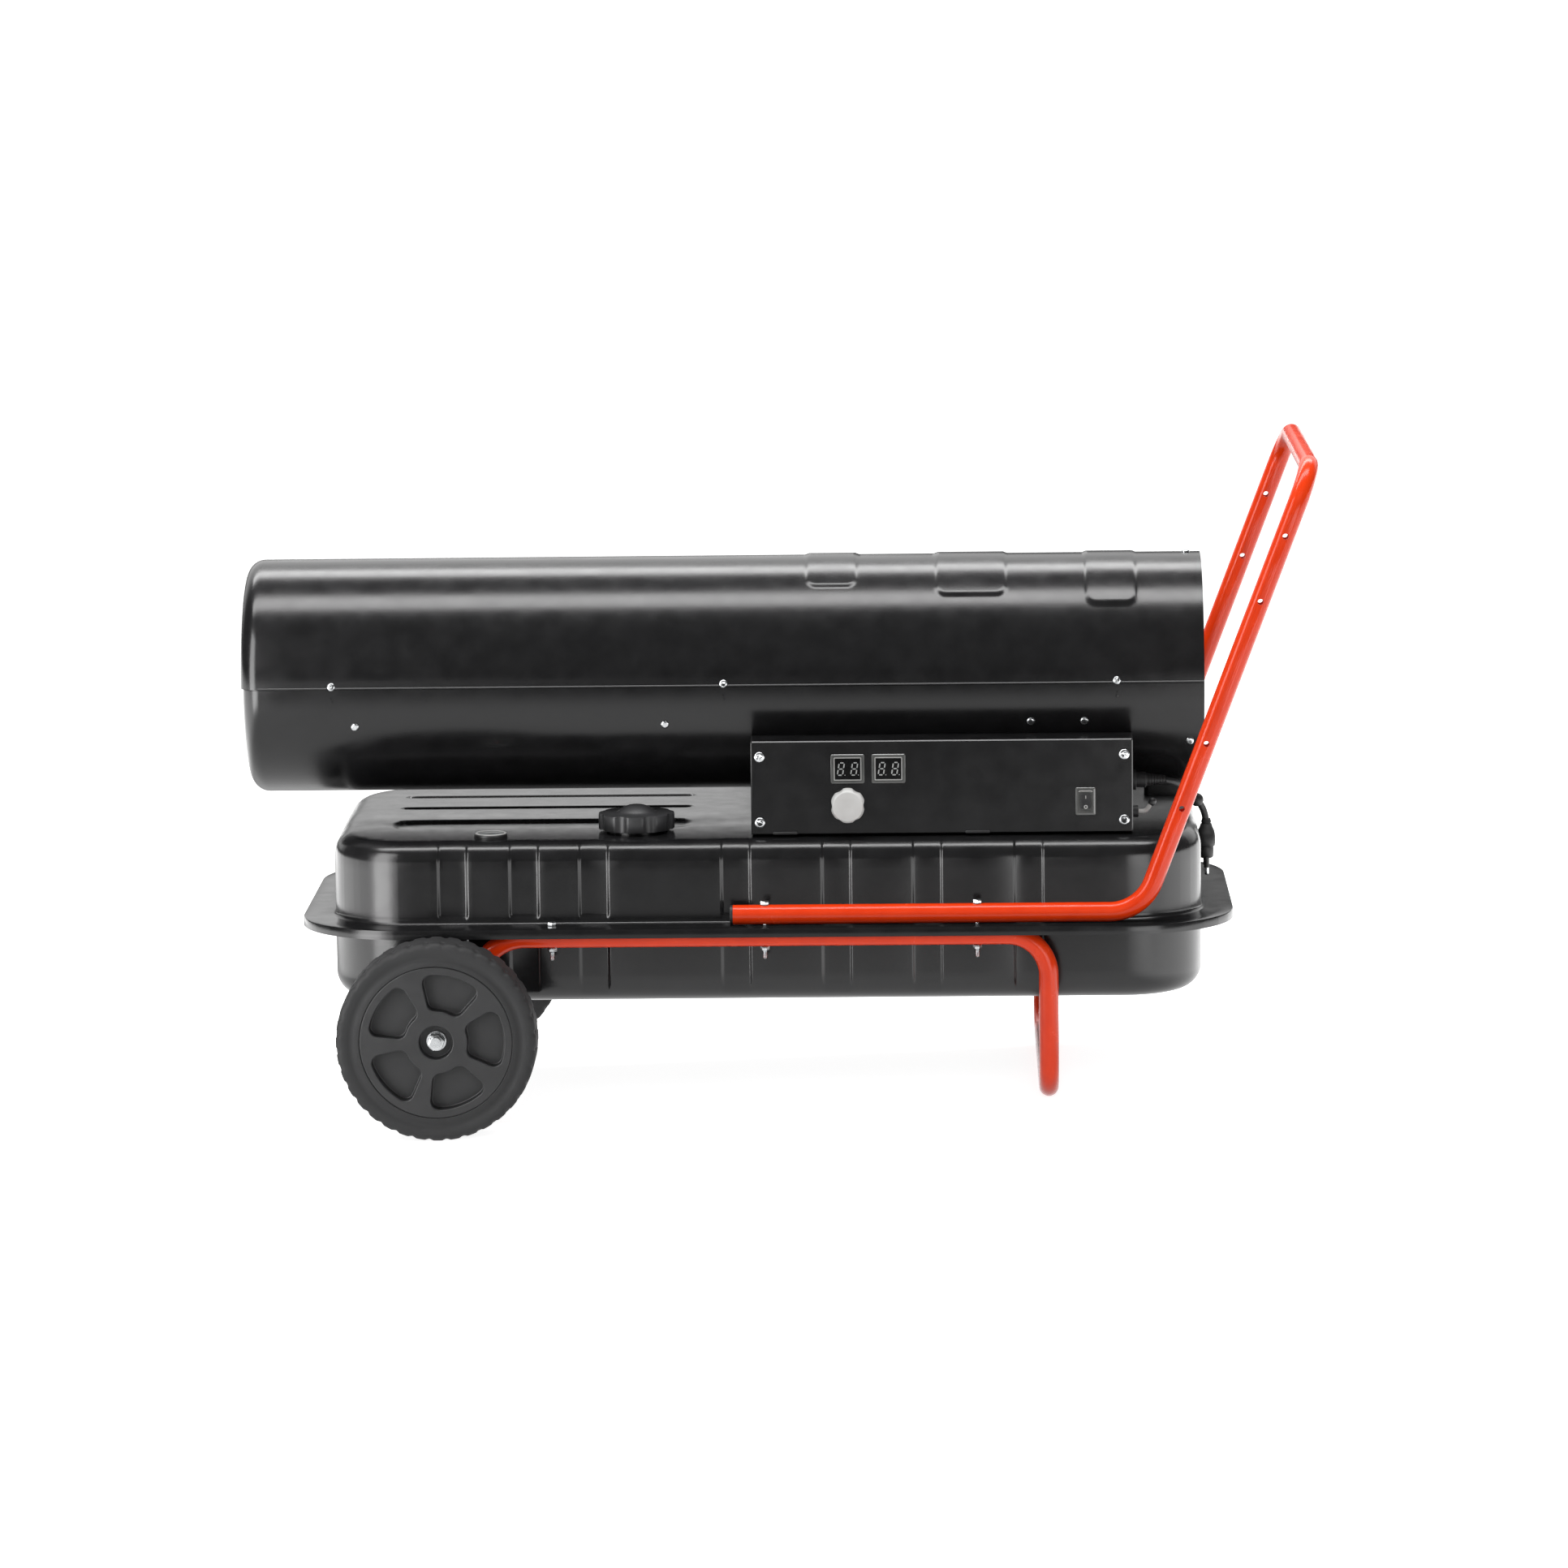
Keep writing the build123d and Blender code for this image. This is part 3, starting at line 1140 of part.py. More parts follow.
def chamber_brackets():
    """Three brackets at each end of the chamber; the side ones take the barrel's screws."""
    brackets = []
    inner = CHAMBER_R + SEAT_GAP
    outer = BARREL_BORE_R - SEAT_GAP
    for x in CHAMBER_SCREW_X:
        for angle in BRACKET_ANGLES:
            piece = bracket(inner, outer, x - BRACKET_LENGTH / 2, x + BRACKET_LENGTH / 2, angle)
            brackets.append(piece - screw_hole(x, angle))
    return brackets


def burner_head():
    """Plate that closes the chamber, with a collar, swirl slots and seats for what goes through it."""
    back = CHAMBER_BACK + HEAD_T
    head = drum(CHAMBER_R, CHAMBER_BACK, back)
    collar_front = CHAMBER_BACK - HEAD_COLLAR_LENGTH
    head += drum_ring(HEAD_COLLAR_R + HEAD_T, HEAD_COLLAR_R, collar_front, back)
    head -= drum(NOZZLE_R + SEAT_GAP, CHAMBER_BACK, back)
    for side in sides(ELECTRODE_SPACING / 2):
        head -= electrode_rod(ELECTRODE_R + SEAT_GAP, CHAMBER_BACK, back, side)
    head -= photocell_rod(PHOTOCELL_R + SEAT_GAP, CHAMBER_BACK, back)
    for slot in range(HEAD_SLOTS):
        angle = 360 / HEAD_SLOTS * (slot + 0.5)
        half = HEAD_T
        bar = block((CHAMBER_BACK, back), (-half, half), (HEAD_SLOT_R - 6 * half, HEAD_SLOT_R + 6 * half))
        head -= Pos(0, 0, BARREL_Z) * Rot(angle, 0, 0) * bar
    return head


def nozzle_back():
    """Rear face of the nozzle holder."""
    return CHAMBER_BACK + NOZZLE_LENGTH


def fuel_nozzle():
    """Nozzle holder with its tip and the two hose stubs."""
    back = nozzle_back()
    nozzle = drum(NOZZLE_R, CHAMBER_BACK, back)
    nozzle += drum(NOZZLE_TIP_R, CHAMBER_BACK - NOZZLE_TIP_LENGTH, CHAMBER_BACK)
    nozzle += drum(STUB_R, back, back + STUB_LENGTH)
    low = BARREL_Z - NOZZLE_R - STUB_LENGTH
    return nozzle + rod(STUB_R, (FUEL_X, 0, low), (FUEL_X, 0, BARREL_Z))


def electrode_rod(radius, front, back, side):
    """Bar at an electrode's place beside the nozzle."""
    z = BARREL_Z + ELECTRODE_OFFSET
    return rod(radius, (front, side, z), (back, side, z))


def spark_electrodes():
    """Two insulated electrodes through the burner head."""
    electrodes = []
    front = CHAMBER_BACK - HEAD_T
    for side in sides(ELECTRODE_SPACING / 2):
        insulator = electrode_rod(ELECTRODE_R, front, front + ELECTRODE_LENGTH, side)
        electrodes.append(insulator + electrode_rod(SPARK_TIP_R, front - SPARK_TIP_LENGTH, front, side))
    return electrodes


def photocell_rod(radius, front, back):
    """Bar at the photocell's place below the nozzle, beside the fuel hose."""
    place = off_axis(0, 135, PHOTOCELL_OFFSET)
    return rod(radius, (front, place.Y, place.Z), (back, place.Y, place.Z))


def photocell():
    """Flame sensor in the burner head."""
    front = CHAMBER_BACK - HEAD_T
    return photocell_rod(PHOTOCELL_R, front, front + PHOTOCELL_LENGTH)


# Motor, fan and pump


def motor_housing():
    """Motor body with the stator's bore and a bearing bore in each end."""
    motor = drum(MOTOR_R, MOTOR_FRONT, MOTOR_BACK)
    motor -= drum(STATOR_BORE_R, MOTOR_FRONT + MOTOR_END_T, MOTOR_BACK - MOTOR_END_T)
    return motor - drum(SHAFT_R + RUNNING_FIT, MOTOR_FRONT, MOTOR_BACK)


def motor_shaft():
    """Shaft with the rotor core between the motor's ends."""
    core_front = MOTOR_FRONT + MOTOR_END_T + ROTOR_GAP
    core_back = MOTOR_BACK - MOTOR_END_T - ROTOR_GAP
    core = drum(STATOR_BORE_R - ROTOR_GAP, core_front, core_back)
    return core + drum(SHAFT_R, SHAFT_FRONT, SHAFT_BACK)


def fan_blade():
    """One flat blade that widens to its tip, set at the fan's pitch."""
    outline = Polyline(
        (-FAN_ROOT_CHORD / 2, 0),
        (FAN_ROOT_CHORD / 2, 0),
        (FAN_TIP_CHORD / 2, FAN_R + FAN_BLADE_T),
        (-FAN_TIP_CHORD / 2, FAN_R + FAN_BLADE_T),
        (-FAN_ROOT_CHORD / 2, 0),
    )
    flat = Plane(origin=(-FAN_BLADE_T / 2, 0, 0), x_dir=(0, 1, 0), z_dir=(1, 0, 0)) * make_face(outline)
    return Rot(0, 0, FAN_PITCH) * extrude(flat, FAN_BLADE_T)


def fan():
    """Axial fan on the shaft's front end."""
    middle = (FAN_FRONT + FAN_BACK) / 2
    hub = drum(FAN_HUB_R, FAN_FRONT, FAN_BACK)
    swept = drum_ring(FAN_R, SHAFT_R + BODY_GAP, FAN_FRONT, FAN_BACK)
    for number in range(FAN_BLADES):
        blade = Pos(middle, 0, BARREL_Z) * Rot(360 / FAN_BLADES * number, 0, 0) * fan_blade()
        hub += blade & swept
    return hub - drum(SHAFT_R + RUNNING_FIT, FAN_FRONT, FAN_BACK)


def motor_bracket():
    """Cradle band under the motor, with an arm to each side of the barrel."""
    band_inner = MOTOR_R + SEAT_GAP
    front = MOTOR_BRACKET_START
    cradle = drum_ring(band_inner + MOTOR_BAND_T, band_inner, front, MOTOR_BACK)
    reach = band_inner + 2 * MOTOR_BAND_T
    low = BARREL_Z - BRACKET_T - SCREW_HEAD_R
    cradle = cradle & block((front, MOTOR_BACK), sides(reach), (BARREL_Z - reach, low))
    outer = BARREL_BORE_R - SEAT_GAP
    for angle in sides(LOWER_SCREW_ANGLE):
        foot = sector(outer - BRACKET_T, outer, front, MOTOR_BRACKET_END, angle, BRACKET_SPREAD)
        web = block((front, MOTOR_BACK), (-BRACKET_T / 2, BRACKET_T / 2), (0, 2 * outer))
        shift = BRACKET_T + SCREW_HEAD_R
        web = Pos(0, 0, BARREL_Z) * Rot(angle, 0, 0) * Pos(0, math.copysign(shift, angle), 0) * web
        gap = drum_ring(outer - BRACKET_T / 2, band_inner + BRACKET_T / 2, front, MOTOR_BACK)
        cradle = cradle + foot + (web & gap)
    return cradle - [screw_hole(x, angle) for x in MOTOR_SCREW_X for angle in sides(LOWER_SCREW_ANGLE)]


def pump_body():
    """Air pump on the motor's rear face, with its outlet stub below."""
    pump = drum(PUMP_R, MOTOR_BACK, PUMP_BACK)
    x = pump_port_x()
    pump += rod(STUB_R, (x, 0, BARREL_Z - PUMP_R - STUB_LENGTH), (x, 0, BARREL_Z - PUMP_R + 1))
    pump -= drum(PUMP_CAVITY_R, MOTOR_BACK + PUMP_WALL, PUMP_BACK)
    return pump - drum(SHAFT_R + RUNNING_FIT, MOTOR_BACK, MOTOR_BACK + PUMP_WALL)


def pump_rotor():
    """Slotted rotor in the pump's cavity."""
    front = MOTOR_BACK + PUMP_WALL + PUMP_ROTOR_END_GAP
    back = PUMP_BACK - PUMP_ROTOR_END_GAP
    rotor = drum(PUMP_ROTOR_R, front, back)
    half = PUMP_SLOT_WIDTH / 2
    slot = block((front, back), (-half, half), (PUMP_ROTOR_R - PUMP_SLOT_DEPTH, PUMP_ROTOR_R + half))
    for vane in range(PUMP_VANES):
        rotor -= Pos(0, 0, BARREL_Z) * Rot(360 / PUMP_VANES * vane, 0, 0) * slot
    return rotor - drum(SHAFT_R + RUNNING_FIT, front, back)


def air_filter():
    """Filter cover that closes the pump, with a ring of intake holes."""
    back = PUMP_BACK + FILTER_LENGTH
    cover = drum(PUMP_R, PUMP_BACK, back)
    for hole in range(FILTER_HOLES):
        angle = 360 / FILTER_HOLES * hole
        ends = [off_axis(x, angle, PUMP_CAVITY_R - PUMP_WALL) for x in (back - PUMP_WALL, back)]
        cover -= rod(PUMP_WALL, *ends)
    return cover


# Handle, foot frame and their bolts


def handle_leg_point(y, down):
    """Point on a leg of the handle, this far down from its top corner."""
    top = Vector(HANDLE_TOP_X, y, HANDLE_TOP_Z)
    leg = Vector(HANDLE_BEND_X, y, HANDLE_RAIL_Z) - top
    return top + leg.normalized() * down


def handle_tube():
    """Tube from the near rail, up and across the top, down to the far rail."""
    near = [
        (HANDLE_FRONT, -RAIL_Y, HANDLE_RAIL_Z),
        (HANDLE_BEND_X, -RAIL_Y, HANDLE_RAIL_Z),
        (HANDLE_TOP_X, -RAIL_Y, HANDLE_TOP_Z),
    ]
    far = [(x, -y, z) for x, y, z in reversed(near)]
    radii = [HANDLE_BEND_R, HANDLE_TOP_R, HANDLE_TOP_R, HANDLE_BEND_R]
    tube = bent_tube(near + far, radii, TUBE_R, TUBE_R - TUBE_WALL)
    for y in sides(RAIL_Y):
        for start in HANDLE_HOLE_STARTS:
            for down in (start, start + HANDLE_HOLE_SPACING):
                middle = handle_leg_point(y, down)
                across = Vector(0, 2 * TUBE_R, 0)
                tube -= rod(HANDLE_HOLE_R, middle - across, middle + across)
    return tube - bolt_holes(HANDLE_RAIL_Z - 2 * TUBE_R, HANDLE_RAIL_Z + 2 * TUBE_R)


def foot_leg_end(y):
    """Lower front end of a foot rail, just past the axle."""
    corner = Vector(FOOT_CORNER_X, y, FOOT_RAIL_Z)
    axle = Vector(0, y, WHEEL_R)
    return axle + (axle - corner).normalized() * FOOT_OVERRUN


def foot_frame():
    """Tube from the axle, along under the flange, down and across as the foot, and back."""
    near = [
        tuple(foot_leg_end(-RAIL_Y)),
        (FOOT_CORNER_X, -RAIL_Y, FOOT_RAIL_Z),
        (FOOT_X, -RAIL_Y, FOOT_RAIL_Z),
        (FOOT_X, -RAIL_Y, FOOT_Z),
    ]
    far = [(x, -y, z) for x, y, z in reversed(near)]
    radii = [FOOT_CORNER_R] + [FOOT_BEND_R] * 4 + [FOOT_CORNER_R]
    tube = bent_tube(near + far, radii, TUBE_R, TUBE_R - TUBE_WALL)
    reach = RAIL_Y + 2 * TUBE_R
    tube -= rod(AXLE_R + RUNNING_FIT, (0, -reach, WHEEL_R), (0, reach, WHEEL_R))
    return tube - bolt_holes(FOOT_RAIL_Z - 2 * TUBE_R, FOOT_RAIL_Z + 2 * TUBE_R)


def end_plug(place, inwards):
    """Cap and stopper in the open end of a tube."""
    inwards = Vector(inwards).normalized()
    place = Vector(place)
    stopper = rod(TUBE_R - TUBE_WALL - SEAT_GAP, place, place + inwards * END_PLUG_DEPTH)
    return stopper + rod(TUBE_R, place - inwards * END_PLUG_T, place)


def tube_end_plugs():
    """Plugs in the front ends of the handle's rails."""
    return [end_plug((HANDLE_FRONT, y, HANDLE_RAIL_Z), (1, 0, 0)) for y in sides(RAIL_Y)]


def flange_bolts():
    """Hexagon bolts from above, through handle rail, flange and foot rail."""
    end = FOOT_RAIL_Z - TUBE_R - BOLT_NUT_T - BOLT_STICK_OUT
    bolts = []
    for x, y in flange_bolt_places():
        seat = FLANGE_TOP if x == FLANGE_BOLT_X else HANDLE_RAIL_Z + TUBE_R
        head = hexagon(BOLT_HEAD_AF, BOLT_HEAD_T, Plane(origin=(x, y, seat)))
        bolts.append(head + rod(BOLT_R, (x, y, end), (x, y, seat)))
    return bolts


def flange_nuts():
    """Nuts under the foot rails, and the same nuts on the base box's studs."""
    places = [(x, y, FOOT_RAIL_Z - TUBE_R - BOLT_NUT_T) for x, y in flange_bolt_places()]
    places += [(x, y, BOX_FLOOR) for x in STUD_X for y in sides(STUD_Y)]
    nuts = []
    for x, y, z in places:
        nut = hexagon(BOLT_HEAD_AF, BOLT_NUT_T, Plane(origin=(x, y, z)))
        nuts.append(nut - rod(BOLT_R + RUNNING_FIT, (x, y, z), (x, y, z + BOLT_NUT_T)))
    return nuts


# Wheels and axle


def axle_point(y):
    """Point on the axle's centre line."""
    return (0, y, WHEEL_R)


def axle():
    """Plain bar across the foot frame's front ends."""
    return rod(AXLE_R, axle_point(-AXLE_END_Y), axle_point(AXLE_END_Y))


def axle_spacers():
    """Tubes between the foot rails and the wheels."""
    bore = AXLE_R + RUNNING_FIT
    start = RAIL_Y + TUBE_R
    end = WHEEL_INNER_Y - BODY_GAP
    return [pipe(SPACER_R, bore, axle_point(side * start), axle_point(side * end)) for side in sides(1)]


def axle_nuts():
    """Washer and nut in the recess of each wheel."""
    pieces = []
    bore = AXLE_R + RUNNING_FIT
    for side in sides(1):
        pieces.append(pipe(WASHER_R, bore, axle_point(side * WASHER_Y), axle_point(side * NUT_Y)))
        place = Plane(origin=axle_point(side * NUT_Y), x_dir=(1, 0, 0), z_dir=(0, side, 0))
        nut = hexagon(AXLE_NUT_AF, AXLE_NUT_T, place)
        pieces.append(nut - rod(bore, axle_point(side * NUT_Y), axle_point(side * (NUT_Y + AXLE_NUT_T))))
    return pieces


def wheel_pocket(y, depth_direction):
    """Recess between two spokes, from a face of the wheel inwards."""
    half = math.radians(POCKET_HALF_ANGLE)
    inner_end = (POCKET_INNER_R * math.cos(half), POCKET_INNER_R * math.sin(half))
    outer_end = (POCKET_OUTER_R * math.cos(half), POCKET_OUTER_R * math.sin(half))
    pieces = [
        ThreePointArc((inner_end[0], -inner_end[1]), (POCKET_INNER_R, 0), inner_end),
        Line(inner_end, outer_end),
        ThreePointArc(outer_end, (POCKET_OUTER_R, 0), (outer_end[0], -outer_end[1])),
        Line((outer_end[0], -outer_end[1]), (inner_end[0], -inner_end[1])),
    ]
    face = make_face(Curve() + pieces)
    face = fillet(face.vertices(), POCKET_CORNER)
    place = Plane(origin=axle_point(y), x_dir=(1, 0, 0), z_dir=(0, depth_direction, 0))
    turns = [-depth_direction * (POCKET_START + 360 / POCKETS * number) for number in range(POCKETS)]
    return [extrude(place * Rot(0, 0, turn) * face, POCKET_DEPTH) for turn in turns]


def wheel_hub(side):
    """Moulded wheel centre with five pockets in each face and a recess for the nut."""
    inner = side * WHEEL_INNER_Y
    outer = side * WHEEL_OUTER_Y
    hub = rod(RIM_R, axle_point(inner), axle_point(outer))
    hub -= rod(AXLE_R + RUNNING_FIT, axle_point(inner), axle_point(outer))
    hub -= rod(HUB_RECESS_R, axle_point(side * RECESS_Y), axle_point(outer))
    return hub - wheel_pocket(outer, -side) - wheel_pocket(inner, side)


def tyre(side):
    """Tyre with short blocks along both shoulders."""
    inner = WHEEL_Y - WHEEL_WIDTH / 2
    outer = WHEEL_Y + WHEEL_WIDTH / 2
    ring = pipe(WHEEL_R, RIM_R + RUNNING_FIT, axle_point(side * inner), axle_point(side * outer))
    cuts = []
    for start in (inner, outer - TREAD_LENGTH):
        across = sorted((side * start, side * (start + TREAD_LENGTH)))
        height = (WHEEL_R - TREAD_DEPTH, WHEEL_R + TREAD_DEPTH)
        groove = block((-TREAD_GAP / 2, TREAD_GAP / 2), across, height)
        for number in range(TREAD_BLOCKS):
            cuts.append(Pos(0, 0, WHEEL_R) * Rot(0, 360 / TREAD_BLOCKS * (number + 0.5), 0) * groove)
    return ring - cuts


# Nodes, and the pose of the whole heater

NODES = {
    "tank_upper_shell": tank_upper_shell,
    "tank_lower_shell": tank_lower_shell,
    "drain_plug": drain_plug,
    "filler_neck": filler_neck,
    "filler_strainer": filler_strainer,
    "filler_cap": filler_cap,
    "cap_gasket": cap_gasket,
    "gauge_body": gauge_body,
    "gauge_lens": gauge_lens,
    "gauge_needle": gauge_needle,
    "float_arm": float_arm,
    "fuel_pickup": fuel_pickup,
    "fuel_hose": fuel_hose,
    "air_hose": air_hose,
    "handle_tube": handle_tube,
    "tube_end_plugs": tube_end_plugs,
    "foot_frame": foot_frame,
    "flange_bolts": flange_bolts,
    "flange_nuts": flange_nuts,
    "axle": axle,
    "axle_spacers": axle_spacers,
    "axle_nuts": axle_nuts,
    "wheel_hub_near": lambda: wheel_hub(-1),
    "wheel_hub_far": lambda: wheel_hub(1),
    "tyre_near": lambda: tyre(-1),
    "tyre_far": lambda: tyre(1),
    "barrel_upper_shell": barrel_upper_shell,
    "barrel_lower_shell": barrel_lower_shell,
    "shell_screws": shell_screws,
    "inlet_guard": inlet_guard,
    "base_box": base_box,
    "control_panel": control_panel,
    "back_panel": back_panel,
    "panel_screws": panel_screws,
    "display_modules": display_modules,
    "circuit_board": circuit_board,
    "thermostat_pot": thermostat_pot,
    "thermostat_knob": thermostat_knob,
    "switch_frame": switch_frame,
    "switch_rocker": switch_rocker,
    "ignition_transformer": ignition_transformer,
    "motor_capacitor": motor_capacitor,
    "cable_grommets": cable_grommets,
    "room_sensor": room_sensor,
    "power_cord": power_cord,
    "power_plug": power_plug,
    "combustion_chamber": combustion_chamber,
    "chamber_brackets": chamber_brackets,
    "flame_baffle": flame_baffle,
    "burner_head": burner_head,
    "fuel_nozzle": fuel_nozzle,
    "spark_electrodes": spark_electrodes,
    "photocell": photocell,
    "motor_housing": motor_housing,
    "motor_bracket": motor_bracket,
    "motor_shaft": motor_shaft,
    "fan": fan,
    "pump_body": pump_body,
    "pump_rotor": pump_rotor,
    "air_filter": air_filter,
}
CORD_NODES = ("power_cord", "power_plug")


def lean(shape):
    """Turn about the axle until the foot's cross bar meets the floor, nose up."""
    return Pos(0, 0, WHEEL_R) * Rot(0, LEAN, 0) * Pos(0, 0, -WHEEL_R) * shape


def as_compound(made):
    """One shape for a node of one or several solids."""
    solids = [solid for piece in (made if isinstance(made, list) else [made]) for solid in piece.solids()]
    return solids[0] if len(solids) == 1 else Compound(children=solids)


def main():
    """Build every node, stand the heater on its foot, centre it and write the files."""
    os.makedirs("parts", exist_ok=True)
    leaned = {name: lean(as_compound(build())) for name, build in NODES.items()}
    boxes = [shape.bounding_box() for name, shape in leaned.items() if name not in CORD_NODES]
    middle = (min(box.min.X for box in boxes) + max(box.max.X for box in boxes)) / 2
    print("lean", round(LEAN, 5), "axle at x", round(-middle, 3))
    for name, shape in leaned.items():
        export_step(Pos(-middle, 0, 0) * shape, os.path.join("parts", name + ".step"))


main()
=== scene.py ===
"""Looks of a forced air heater: a black barrel on a pressed fuel tank, with a red tube handle, foot and wheels.

Shapes are laid out level and in millimetres, with the axle over X 0 and the controls at -Y. STAND scales
them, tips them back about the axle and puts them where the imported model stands.
"""

import math

import bmesh
import bpy
from mathutils import Matrix, Vector
from mathutils.bvhtree import BVHTree


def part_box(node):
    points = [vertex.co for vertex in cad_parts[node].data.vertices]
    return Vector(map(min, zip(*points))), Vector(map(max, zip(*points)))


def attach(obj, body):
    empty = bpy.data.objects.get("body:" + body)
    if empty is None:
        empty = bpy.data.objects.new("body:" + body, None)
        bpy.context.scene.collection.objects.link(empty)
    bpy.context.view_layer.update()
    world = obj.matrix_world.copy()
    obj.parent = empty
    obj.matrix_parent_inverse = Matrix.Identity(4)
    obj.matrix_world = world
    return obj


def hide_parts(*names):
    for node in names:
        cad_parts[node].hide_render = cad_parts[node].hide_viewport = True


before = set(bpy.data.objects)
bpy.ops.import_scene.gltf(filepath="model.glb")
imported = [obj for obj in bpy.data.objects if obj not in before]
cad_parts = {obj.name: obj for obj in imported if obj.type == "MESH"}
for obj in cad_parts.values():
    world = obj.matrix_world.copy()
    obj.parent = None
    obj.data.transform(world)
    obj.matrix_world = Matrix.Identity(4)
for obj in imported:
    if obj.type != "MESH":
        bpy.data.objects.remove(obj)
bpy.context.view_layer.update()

# Sizes shared with the construction, in millimetres
SHEET = 1.2
BARREL_WALL = 1.0
TUBE_R = 10.0
TUBE_WALL = 1.2
RAIL_Y = 202.0
WHEEL_R = 101.5
WHEEL_WIDTH = 48.0
WHEEL_Y = 252.0
RIM_R = 77.5
FOOT_X = 619.5
FOOT_Z = 30.6
FOOT_CORNER_X = 60.0
TANK_X = 332.7
TANK_TOP = 293.0
TANK_BOTTOM = 125.0
TANK_SIZE = (890.0, 376.0)
TANK_CORNER = 80.0
TOP_EDGE_R = 20.0
BOTTOM_EDGE_R = 24.0
FLANGE_SIZE = (956.0, 452.0)
FLANGE_CORNER = 115.0
FLANGE_TOP = 207.6
FLANGE_BOTTOM = 205.2
LIP_BOTTOM = 198.1
RIB_STARTS = (-0.7, 72.1, 143.2, 287.7, 390.1, 482.5, 585.6)
RIB_WIDTH = 28.9
RIB_DEPTH = 2.5
UPPER_RIB_ENDS = (213.6, 300.0)
LOWER_RIB_ENDS = (140.0, 199.2)
GROOVE_ENDS = (-52.0, 251.0)
# Each groove's place across the tank, width, depth and soft edge
GROOVES = ((-76.0, 40.0, 2.6, 13.0), (25.0, 12.0, 2.8, 5.0), (103.0, 11.0, 2.8, 5.0))
# Where the tank's top starts to fall towards its near edge, over what reach, and by how much
CROWN = (40.0, 145.0, 3.4)
# Raised field of the tank's top: its middle, size, corner, soft edge and rise
FIELD = ((110.0, 72.0), (436.0, 250.0), 60.0, 64.0, 2.4)
FILLER = Vector((199.0, -115.0, TANK_TOP))
GAUGE = Vector((51.0, -147.0, TANK_TOP))
BARREL_Z = 440.5
BARREL_R = 120.5
BARREL_FRONT = -206.3
BARREL_BACK = 781.6
LOWER_FRONT_STEP = 2.3
LIP_R = 18.0
PADS = ((374.8, 426.6, 72.0), (508.3, 580.1, 82.5), (661.8, 713.4, 91.6))
PAD_RISE = 1.5
PAD_CORNER = 10.0
PANEL_Y = -160.4
BOX_X = (318.0, 707.0)
HANDLE_RAIL_Z = FLANGE_TOP + TUBE_R
FOOT_RAIL_Z = FLANGE_BOTTOM - TUBE_R

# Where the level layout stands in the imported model
LEAN = math.asin((WHEEL_R - TUBE_R) / math.hypot(FOOT_X, WHEEL_R - FOOT_Z)) - math.atan2(WHEEL_R - FOOT_Z, FOOT_X)
MM = 0.001
axle_low, axle_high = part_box("axle")
AXLE = Vector(((axle_low.x + axle_high.x) / 2, 0, WHEEL_R * MM))
TILT = Matrix.Rotation(LEAN, 4, "Y")
STAND = Matrix.Translation(AXLE) @ TILT @ Matrix.Translation((0, 0, -WHEEL_R * MM)) @ Matrix.Scale(MM, 4)


# Camera, lights, floor

CAMERA_AT = Vector((508.7, -7110.1, 1378.8))
CAMERA_AIM = Vector((348.2, 0.0, 321.4))
CAMERA_ROLL = math.radians(-0.677)
CAMERA_LENS = 158.4


def add_camera():
    """Camera at the photograph's angle."""
    data = bpy.data.cameras.new("camera")
    data.lens = CAMERA_LENS
    data.clip_end = 200.0
    camera = bpy.data.objects.new("camera", data)
    bpy.context.scene.collection.objects.link(camera)
    look = (CAMERA_AIM - CAMERA_AT).to_track_quat("-Z", "Y").to_matrix().to_4x4()
    turn = TILT @ look @ Matrix.Rotation(CAMERA_ROLL, 4, "Z")
    camera.matrix_world = Matrix.Translation(STAND @ CAMERA_AT) @ turn
    bpy.context.scene.camera = camera


def add_lamp(name, place, aim, size, radiance, mirrored=True, lights=True):
    """Soft rectangular lamp, in metres, that shines with an even brightness."""
    data = bpy.data.lights.new(name, "AREA")
    data.shape = "RECTANGLE"
    data.size, data.size_y = size
    data.energy = radiance * math.pi * size[0] * size[1]
    lamp = bpy.data.objects.new(name, data)
    bpy.context.scene.collection.objects.link(lamp)
    lamp.location = place
    lamp.rotation_euler = (Vector(aim) - Vector(place)).to_track_quat("-Z", "Y").to_euler()
    lamp.visible_camera = False
    lamp.visible_glossy = mirrored
    lamp.visible_diffuse = lights


def add_node(tree, kind, **settings):
    """New shader node with its settings."""
    node = tree.nodes.new(kind)
    for name, value in settings.items():
        setattr(node, name, value)
    return node


def linked(tree, node, **inputs):
    """Joins outputs to a node's inputs by name, or sets their values."""
    for name, value in inputs.items():
        socket = node.inputs[name.replace("_", " ")]
        if isinstance(value, bpy.types.NodeSocket):
            tree.links.new(value, socket)
        else:
            socket.default_value = value
    return node


def math_node(tree, operation, first, second):
    """Output of a maths node."""
    node = add_node(tree, "ShaderNodeMath", operation=operation)
    for socket, value in zip(node.inputs, (first, second)):
        if isinstance(value, bpy.types.NodeSocket):
            tree.links.new(value, socket)
        else:
            socket.default_value = value
    return node.outputs[0]


ROOM_LEVEL = 0.42
FLOOR_GLOW = 0.86


def spread_between(tree, value, first, last, low, high):
    """A value carried from one range to another and held at its ends."""
    node = linked(tree, add_node(tree, "ShaderNodeMapRange"), Value=value)
    for socket, limit in zip(node.inputs[1:5], (first, last, low, high)):
        socket.default_value = limit
    return node.outputs[0]


